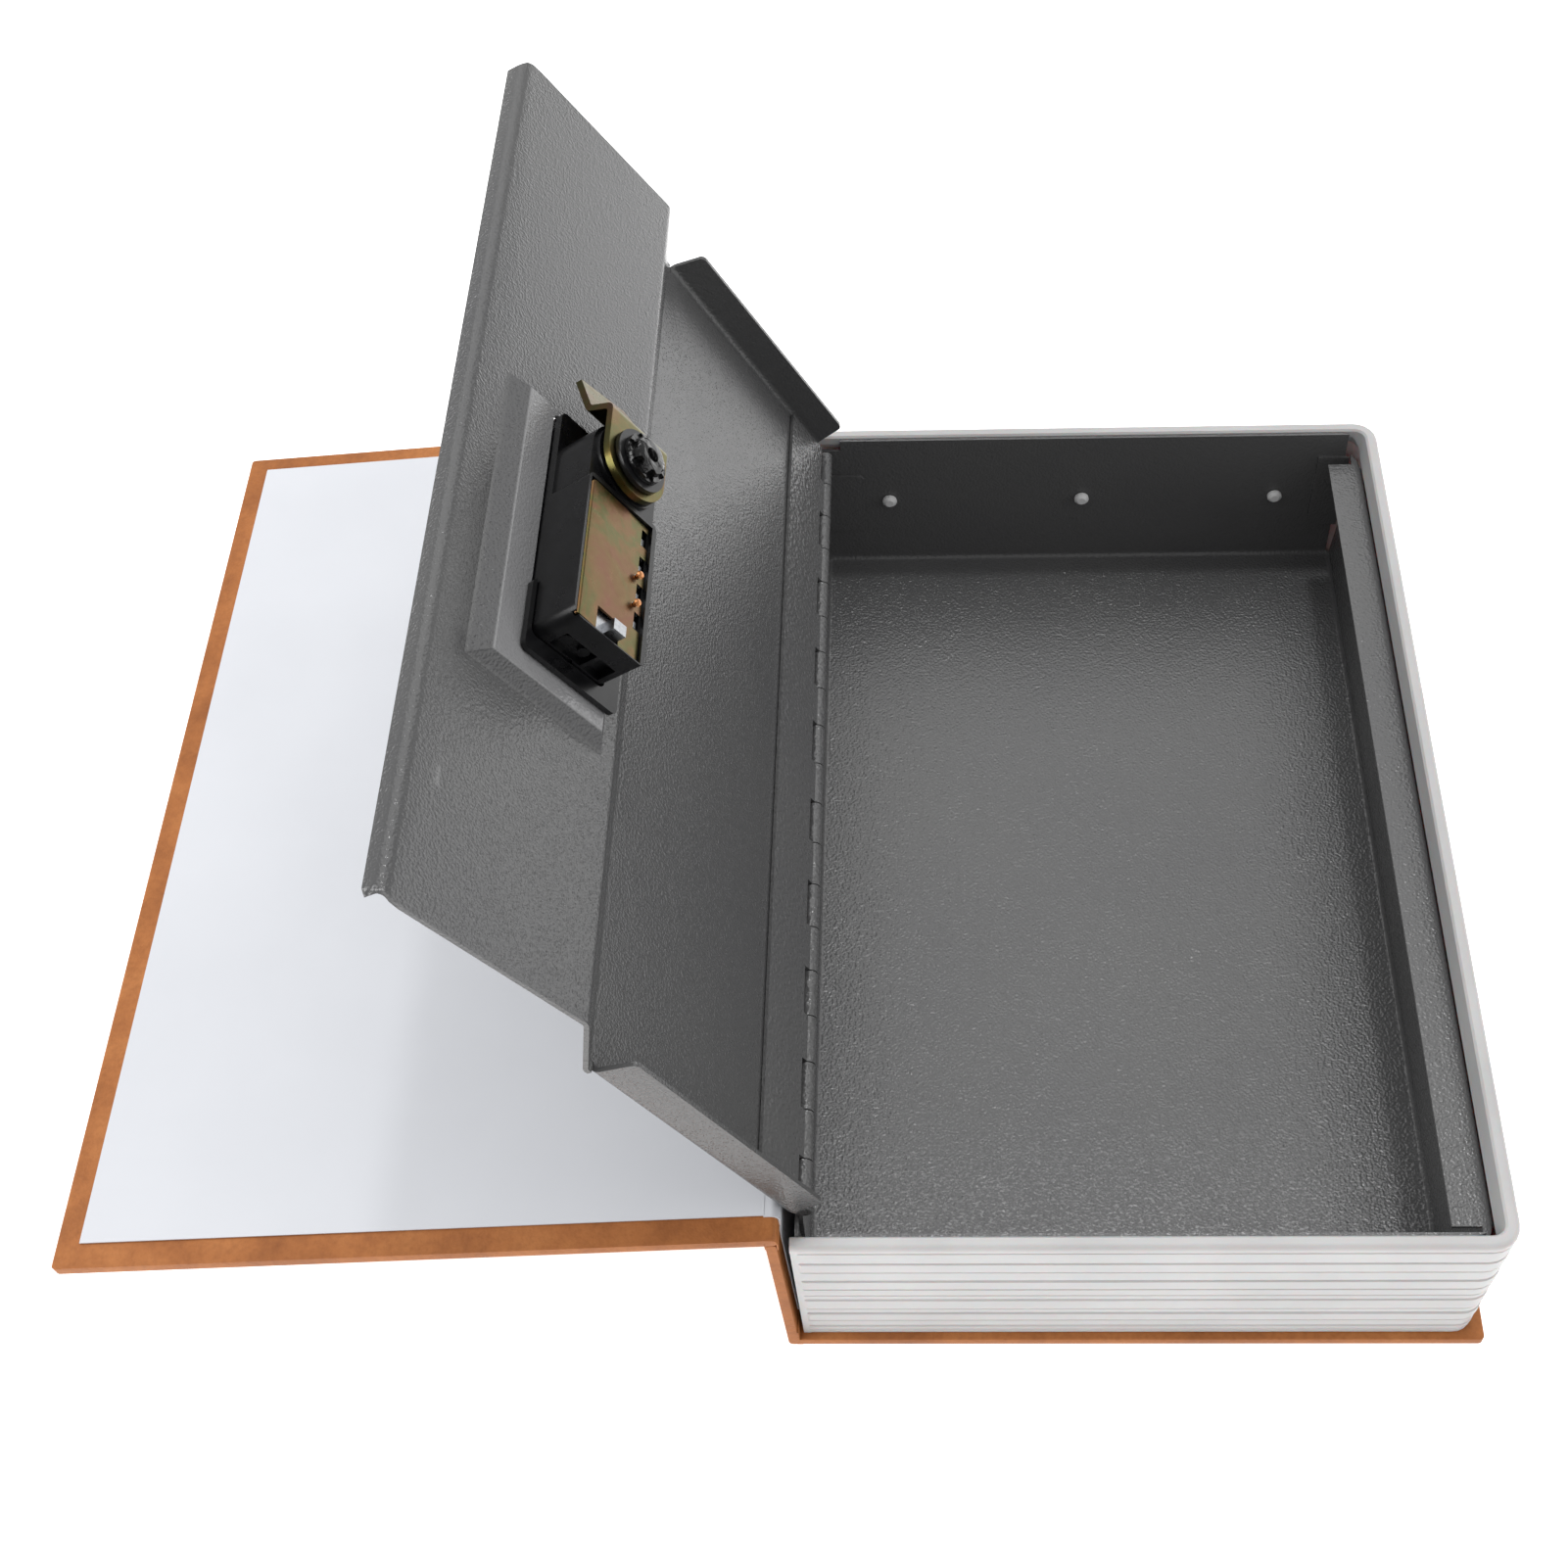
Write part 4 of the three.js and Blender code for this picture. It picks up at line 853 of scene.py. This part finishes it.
@dataclass
class Smoother:
    """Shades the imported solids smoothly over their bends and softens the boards' edges."""

    smooth_below: float = math.radians(21)
    weld: float = 0.004 * MM
    flat_within: float = math.radians(0.6)
    sharp_above: float = math.radians(40)
    edge_steps: int = 3
    group: bpy.types.NodeTree = field(init=False)

    def __post_init__(self) -> None:
        """Builds the node group that every solid shares."""
        self.group = bpy.data.node_groups.new("smooth_bends", "GeometryNodeTree")
        sockets = self.group.interface
        for way in ("INPUT", "OUTPUT"):
            sockets.new_socket("Geometry", in_out=way, socket_type="NodeSocketGeometry")
        nodes, links = self.group.nodes, self.group.links
        start = nodes.new("NodeGroupInput")
        end = nodes.new("NodeGroupOutput")
        faces = nodes.new("GeometryNodeSetShadeSmooth")
        faces.domain = "FACE"
        edges = nodes.new("GeometryNodeSetShadeSmooth")
        edges.domain = "EDGE"
        edges.inputs["Shade Smooth"].default_value = False
        angle = nodes.new("GeometryNodeInputMeshEdgeAngle")
        steep = nodes.new("FunctionNodeCompare")
        steep.data_type = "FLOAT"
        steep.operation = "GREATER_THAN"
        steep.inputs[1].default_value = self.smooth_below
        links.new(start.outputs[0], faces.inputs["Geometry"])
        links.new(faces.outputs[0], edges.inputs["Geometry"])
        links.new(angle.outputs["Unsigned Angle"], steep.inputs[0])
        links.new(steep.outputs[0], edges.inputs["Selection"])
        links.new(edges.outputs[0], end.inputs[0])

    def finish(self, piece: bpy.types.Object, edge: float = 0.0) -> None:
        """Adds the modifiers.

        Args:
            piece: The solid.
            edge: The width of its softened edges in metres, or zero for none.
        """
        weld = piece.modifiers.new("weld", "WELD")
        weld.merge_threshold = self.weld
        if edge > 0:
            flat = piece.modifiers.new("flats", "DECIMATE")
            flat.decimate_type = "DISSOLVE"
            flat.angle_limit = self.flat_within
            bevel = piece.modifiers.new("edges", "BEVEL")
            bevel.width = edge
            bevel.segments = self.edge_steps
            bevel.limit_method = "ANGLE"
            bevel.angle_limit = self.sharp_above
            bevel.use_clamp_overlap = True
        smooth = piece.modifiers.new("smooth", "NODES")
        smooth.node_group = self.group


@dataclass
class SubAssembly(ABC):
    """A group of pieces that are dressed together."""

    finishes: Finishes
    smoother: Smoother

    @abstractmethod
    def build(self) -> None:
        """Dresses the group, and makes the pieces that only the scene has."""

    def dress_solids(self, table: dict[Surface, tuple[str, ...]], edge: float = 0.0) -> None:
        """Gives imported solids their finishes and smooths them.

        Args:
            table: The nodes that take each finish.
            edge: The width of their softened edges in metres, or zero for none.
        """
        for surface, nodes in table.items():
            for node in nodes:
                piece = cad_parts[node]
                self.finishes.dress(piece, surface)
                self.smoother.finish(piece, edge)

    def keep(
        self,
        name: str,
        mesh: bmesh.types.BMesh,
        surface: Surface,
        body: str,
        slot: Optional[Surface] = None,
    ) -> None:
        """Turns a finished bmesh into a dressed piece that rides on a body.

        Args:
            name: The piece's name.
            mesh: Its shape, which is used up.
            surface: Its finish.
            body: The body that it rides on.
            slot: Its slot in the record, or none where the finish is a slot itself. Not used.
        """
        data = bpy.data.meshes.new(name)
        mesh.to_mesh(data)
        mesh.free()
        piece = bpy.data.objects.new(name, data)
        bpy.context.collection.objects.link(piece)
        self.finishes.dress(piece, surface)
        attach(piece, body)
        log.info("%s laid", name)


@dataclass
class Boards(SubAssembly):
    """The covered boards, their endpapers, and what joins them at the creases."""

    upper_crease: Triple = (-79.9807 * MM, 0.0, 54.161 * MM)
    spine_middle: float = -77.95 * MM
    half_board: float = 1.3 * MM
    edge: float = 0.35 * MM
    joint_gap: float = 0.3 * MM
    lean: float = math.radians(2.2)
    droop: float = math.radians(5.0)
    turn_in: float = 5.5 * MM
    far_turn_in: float = 4.6 * MM
    half_length: float = 120.0 * MM
    paper: Pair = (1.45 * MM, 1.82 * MM)
    paper_on_spine: float = 2.4 * MM
    paper_on_cover: float = 1.4 * MM
    paper_spread: float = 0.25 * MM
    paper_steps: int = 7
    cloth: float = 0.16 * MM
    cloth_lap: float = 3.2 * MM
    foot_bottom: float = 0.06 * MM
    foot_top: float = 2.5 * MM
    foot_chamfer: float = 0.3 * MM
    foot_inset: float = 0.02 * MM

    def build(self) -> None:
        """Dresses the boards and papers, and lays the cloth and paper over the creases."""
        boards = ("back_board", "spine_board", "front_board")
        self.dress_solids({Surface.LEATHERETTE: boards}, self.edge)
        for node in ("spine_endpaper", "front_endpaper"):
            self.finishes.dress(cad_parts[node], Surface.PAPER)
        log.info("boards and endpapers dressed")
        self.lay_crease_paper()
        self.lay_crease_cloth("crease_cloth_inside", 1)
        self.lay_crease_cloth("crease_cloth_outside", -1)
        self.lay_foot_cloth()

    @property
    def inwards(self) -> Vector:
        """The way the spine's inner face looks, with the cover thrown open."""
        return Vector((math.cos(self.lean), 0, math.sin(self.lean)))

    @property
    def upwards(self) -> Vector:
        """The way up along the leaning spine."""
        return Vector((-math.sin(self.lean), 0, math.cos(self.lean)))

    def lay_crease_paper(self) -> None:
        """Carries the endpaper over the upper crease in halves, one on each board."""
        half = (math.pi / 2 + self.droop - self.lean) / 2
        above_cover = Vector((-math.sin(self.droop), 0, math.cos(self.droop)))
        along_cover = Vector((-math.cos(self.droop), 0, -math.sin(self.droop)))
        spine_lap = -self.upwards * self.paper_on_spine
        cover_lap = along_cover * self.paper_on_cover
        self.bend_paper("crease_paper_spine", "spine", self.inwards, spine_lap, -half)
        self.bend_paper("crease_paper_cover", "front_cover", above_cover, cover_lap, half)

    def bend_paper(self, name: str, body: str, outwards: Vector, lap: Vector, turn: float) -> None:
        """Bends one half of the crease's paper: a flat lap on a board, then an arc to the middle.

        Args:
            name: The piece's name.
            body: The body that it rides on.
            outwards: The way the board's papered face looks.
            lap: How far the flat part reaches along the board.
            turn: How far the arc turns, in radians.
        """
        centre = Vector(self.upper_crease)
        near = -self.half_length + self.turn_in - self.paper_spread
        far = self.half_length - self.far_turn_in + self.paper_spread
        inner, outer = self.paper
        section = ((inner, near), (outer, near), (outer, far), (inner, far))
        mesh = bmesh.new()
        foot = [
            mesh.verts.new(centre + outwards * reach + lap + Vector((0, y, 0)))
            for reach, y in section
        ]
        grown = bmesh.ops.extrude_face_region(mesh, geom=[mesh.faces.new(foot)])["geom"]
        moved = [item for item in grown if isinstance(item, bmesh.types.BMVert)]
        joint = [item for item in grown if isinstance(item, bmesh.types.BMFace)]
        bmesh.ops.translate(mesh, verts=moved, vec=-lap)
        bmesh.ops.spin(
            mesh,
            geom=joint,
            cent=centre,
            axis=HEADWARDS,
            angle=turn,
            steps=self.paper_steps,
            use_merge=False,
        )
        inside = [
            face for face in mesh.faces if all(len(edge.link_faces) > 2 for edge in face.edges)
        ]
        bmesh.ops.delete(mesh, geom=inside, context="FACES_ONLY")
        bmesh.ops.recalc_face_normals(mesh, faces=mesh.faces)
        self.keep(name, mesh, Surface.PAPER, body)

    def lay_strip(self, name: str, corners: list[Vector], reach: float, body: str) -> None:
        """Lays a thin strip of bookcloth along a crease.

        Args:
            name: The piece's name.
            corners: The corners of its section in X and Z, in order.
            reach: How far it reaches from the book's middle, both ways.
            body: The body that it rides on.
        """
        mesh = bmesh.new()
        verts = [mesh.verts.new((corner.x, -reach, corner.z)) for corner in corners]
        grown = bmesh.ops.extrude_face_region(mesh, geom=[mesh.faces.new(verts)])["geom"]
        ends = [item for item in grown if isinstance(item, bmesh.types.BMVert)]
        bmesh.ops.translate(mesh, verts=ends, vec=(0, 2 * reach, 0))
        bmesh.ops.recalc_face_normals(mesh, faces=mesh.faces)
        self.keep(name, mesh, Surface.LEATHERETTE, body)

    def lay_crease_cloth(self, name: str, side: int) -> None:
        """Covers the gap between the spine's top and the cover with a lap of bookcloth.

        Args:
            name: The piece's name.
            side: 1 for the spine's inner face, -1 for its outer one.
        """
        face, cloth, gap = self.half_board, self.cloth, self.joint_gap
        section = (
            (face - cloth, self.cloth_lap),
            (face + cloth / 4, self.cloth_lap),
            (face + cloth, self.cloth_lap * 0.8),
            (face + cloth, gap * 3),
            (face + cloth / 3, gap / 2),
            (face - cloth / 8, gap / 2),
            (face - cloth, gap * 3),
        )
        crease, outwards = Vector(self.upper_crease), self.inwards * side
        corners = [crease + outwards * reach - self.upwards * drop for reach, drop in section]
        self.lay_strip(name, corners, self.half_length, "spine")

    def lay_foot_cloth(self) -> None:
        """Closes the lower crease between the back board and the spine with bookcloth."""
        spine_face, gap = self.spine_middle + self.half_board, self.joint_gap
        bottom, top = self.foot_bottom, self.foot_top
        section = (
            (-gap, self.foot_chamfer),
            (-gap * 2.4, bottom),
            (gap * 2, bottom),
            (gap * 2, top),
            (-gap * 2, top),
            (-gap, top - self.foot_chamfer),
        )
        corners = [Vector((spine_face + across, 0, height)) for across, height in section]
        self.lay_strip("foot_cloth", corners, self.half_length - self.foot_inset, "case")


class PageBlock(SubAssembly):
    """The white moulding round the tray and the push rivets that hold it."""

    def build(self) -> None:
        """Dresses the page block and its rivets."""
        ends, numbers = ("tail", "head"), (1, 2, 3)
        studs = tuple(f"frame_stud_{end}_{number}" for end in ends for number in numbers)
        self.dress_solids({Surface.PAGE_PLASTIC: ("page_frame",), Surface.STUD_PLASTIC: studs})
        log.info("page block dressed")


class Steelwork(SubAssembly):
    """The tray, the lid and the piano hinge between them."""

    def build(self) -> None:
        """Dresses the painted steel."""
        self.dress_solids(
            {
                Surface.TRAY_PAINT: ("tray",),
                Surface.LID_PAINT: ("lid_panel",),
                Surface.GREY_PAINT: ("tray_hinge_leaf", "lid_hinge_leaf"),
                Surface.PIN_STEEL: ("hinge_pin",),
            }
        )
        log.info("tray, lid and hinge dressed")


@dataclass
class Lock(SubAssembly):
    """The number-wheel lock in the lid's well, with its cam."""

    wheel_reach: float = 20.4 * MM
    wheel_depth: float = 3.5 * MM
    wheel_first: float = -30.9 * MM
    wheel_pitch: float = 7.2 * MM
    wheel_radius: float = 7.7 * MM
    wheel_faces: int = 10
    digit_height: float = 3.1 * MM
    digit_relief: float = 0.24 * MM
    digit_proud: float = 0.05 * MM
    digit_share: float = 0.7
    digit_steps: int = 3
    weld: float = 0.001 * MM

    def build(self) -> None:
        """Dresses every piece of the lock and prints the wheels' numbers."""
        wheels = (1, 2, 3)
        mouldings = ("lock_bezel", "lock_housing", "lock_clip", "knob", "cam_washer")
        rings = tuple(f"code_ring_{index}" for index in wheels)
        self.dress_solids(
            {
                Surface.BLACK_PLASTIC: mouldings,
                Surface.SEALED_PLASTIC: ("cam_screw",),
                Surface.YELLOW_ZINC: ("lock_cover_plate",),
                Surface.CAM_ZINC: ("cam",),
                Surface.SILVER_METAL: ("wheel_spindle", "detent_spring", "reset_lever", *rings),
                Surface.COPPER: ("cover_plate_rivet_1", "cover_plate_rivet_2"),
                Surface.WHEEL_PLASTIC: tuple(f"number_wheel_{index}" for index in wheels),
            }
        )
        log.info("lock dressed")
        for index in wheels:
            self.print_numbers(index)

    def print_numbers(self, index: int) -> None:
        """Prints the numbers 0 to 9 on one wheel.

        Args:
            index: The wheel's number, counted from the tail.
        """
        way, out = Vector(LID_PANEL.way), -Vector(LID_PANEL.normal)
        axle = Vector(LID_PANEL.point) + way * self.wheel_reach - out * self.wheel_depth
        axle.y = self.wheel_first + (index - 1) * self.wheel_pitch
        foot = self.wheel_radius + self.digit_proud - self.digit_relief
        mesh = bmesh.new()
        for digit in range(self.wheel_faces):
            angle = math.tau * digit / self.wheel_faces
            outwards = way * math.sin(angle) + out * math.cos(angle)
            tangent = way * math.cos(angle) - out * math.sin(angle)
            turn = Matrix((Vector(HEADWARDS), -tangent, outwards)).transposed().to_4x4()
            data = self.digit_mesh(str(digit))
            data.transform(Matrix.Translation(axle + outwards * foot) @ turn)
            mesh.from_mesh(data)
            bpy.data.meshes.remove(data)
        bmesh.ops.remove_doubles(mesh, verts=mesh.verts, dist=self.weld)
        bmesh.ops.recalc_face_normals(mesh, faces=mesh.faces)
        name, body = f"wheel_numbers_{index}", f"wheel_{index}"
        self.keep(name, mesh, Surface.NUMBER_INK, body, Surface.BLACK_PLASTIC)

    def digit_mesh(self, text: str) -> bpy.types.Mesh:
        """Makes one raised digit, centred, with its foot on the ground plane.

        Args:
            text: The digit.

        Returns:
            The digit's mesh.
        """
        curve = bpy.data.curves.new("digit", "FONT")
        curve.body = text
        curve.align_x = "CENTER"
        curve.align_y = "CENTER"
        curve.size = self.digit_height / self.digit_share
        curve.extrude = self.digit_relief / 2
        curve.resolution_u = self.digit_steps
        holder = bpy.data.objects.new("digit", curve)
        bpy.context.collection.objects.link(holder)
        bpy.context.view_layer.update()
        data = bpy.data.meshes.new_from_object(holder)
        bpy.data.objects.remove(holder)
        bpy.data.curves.remove(curve)
        low = [min(vertex.co[axis] for vertex in data.vertices) for axis in range(3)]
        high = [max(vertex.co[axis] for vertex in data.vertices) for axis in range(3)]
        middle = Vector(((low[0] + high[0]) / 2, (low[1] + high[1]) / 2, low[2]))
        data.transform(Matrix.Translation(-middle))
        return data


@dataclass(frozen=True)
class Lamp:
    """One soft rectangular light, in metres and watts."""

    name: str
    place: Triple
    target: Triple
    size: Pair
    power: float


LAMPS = (
    Lamp("back", (0.0, 0.93, 1.43), ORIGIN, (2.0, 1.5), 12.8),
    Lamp("overhead", (0.11, 0.33, 1.5), ORIGIN, (0.1, 0.1), 3.0),
    Lamp("side", (1.5, -0.15, 0.8), (0.0, 0.0, 0.05), (1.0, 1.0), 5.4),
    Lamp("left", (-1.5, -0.35, 0.8), (-0.13, -0.03, 0.05), (0.9, 0.9), 15.5),
)


@dataclass
class Studio:
    """The floor, the lights and the camera."""

    finishes: Finishes
    camera_place: Triple = (-46.25 * MM, -306.25 * MM, 466.67 * MM)
    pitch: float = math.radians(53.61)
    yaw: float = math.radians(-3.04)
    roll: float = math.radians(-2.96)
    focal_pixels: float = 2198.58
    centre_pixels: float = 880.5
    sensor: float = 36.0
    nearest: float = 10.0 * MM
    floor_reach: float = 40.0
    floor_drop: float = 0.02 * MM
    room_light: float = 0.54

    def build(self) -> None:
        """Sets up the whole studio."""
        self.lay_floor()
        self.place_camera()
        for lamp in LAMPS:
            self.hang(lamp)
        self.light_room()
        log.info("studio ready")

    def lay_floor(self) -> None:
        """Lays a wide pale floor under the book."""
        mesh = bmesh.new()
        bmesh.ops.create_grid(mesh, x_segments=2, y_segments=2, size=self.floor_reach)
        data = bpy.data.meshes.new("floor")
        mesh.to_mesh(data)
        mesh.free()
        data.transform(Matrix.Translation((0, 0, -self.floor_drop)))
        floor = bpy.data.objects.new("floor", data)
        bpy.context.collection.objects.link(floor)
        self.finishes.dress(floor, Surface.STUDIO_FLOOR)

    def place_camera(self) -> None:
        """Puts the camera where the photograph was taken from."""
        level = Vector((math.cos(self.yaw), -math.sin(self.yaw), 0))
        ahead = Vector((math.sin(self.yaw), math.cos(self.yaw), 0))
        forward = ahead * math.cos(self.pitch) - Vector(UPWARDS) * math.sin(self.pitch)
        above = level.cross(forward)
        right = level * math.cos(self.roll) + above * math.sin(self.roll)
        up = above * math.cos(self.roll) - level * math.sin(self.roll)
        data = bpy.data.cameras.new("camera")
        data.sensor_width = self.sensor
        data.lens = self.focal_pixels / PHOTO_SIZE * self.sensor
        data.shift_x = (PHOTO_SIZE / 2 - self.centre_pixels) / PHOTO_SIZE
        data.clip_start = self.nearest
        camera = bpy.data.objects.new("camera", data)
        turn = Matrix((right, up, -forward)).transposed().to_4x4()
        camera.matrix_world = Matrix.Translation(self.camera_place) @ turn
        bpy.context.collection.objects.link(camera)
        bpy.context.scene.camera = camera

    def hang(self, lamp: Lamp) -> None:
        """Hangs one light.

        Args:
            lamp: The light.
        """
        data = bpy.data.lights.new(lamp.name, "AREA")
        data.shape = "RECTANGLE"
        data.size, data.size_y = lamp.size
        data.energy = lamp.power
        light = bpy.data.objects.new(lamp.name, data)
        facing = (Vector(lamp.target) - Vector(lamp.place)).to_track_quat("-Z", "Y")
        light.matrix_world = Matrix.Translation(lamp.place) @ facing.to_matrix().to_4x4()
        bpy.context.collection.objects.link(light)

    def light_room(self) -> None:
        """Fills the room round the book with pale light."""
        world = bpy.data.worlds.new("studio")
        world.use_nodes = True
        background = world.node_tree.nodes["Background"]
        background.inputs["Color"].default_value = WHITE
        background.inputs["Strength"].default_value = self.room_light
        bpy.context.scene.world = world
        bpy.context.scene.view_settings.view_transform = "Standard"


def write_sizes() -> None:
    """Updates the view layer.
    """
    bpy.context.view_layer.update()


def main() -> None:
    """Builds the looks in order."""
    logging.basicConfig(level=logging.INFO, format="%(name)s: %(message)s")
    finishes = Finishes()
    finishes.prepare()
    smoother = Smoother()
    for kind in (Boards, PageBlock, Steelwork, Lock):
        kind(finishes, smoother).build()
    Studio(finishes).build()
    write_sizes()


if __name__ == "__main__":
    main()
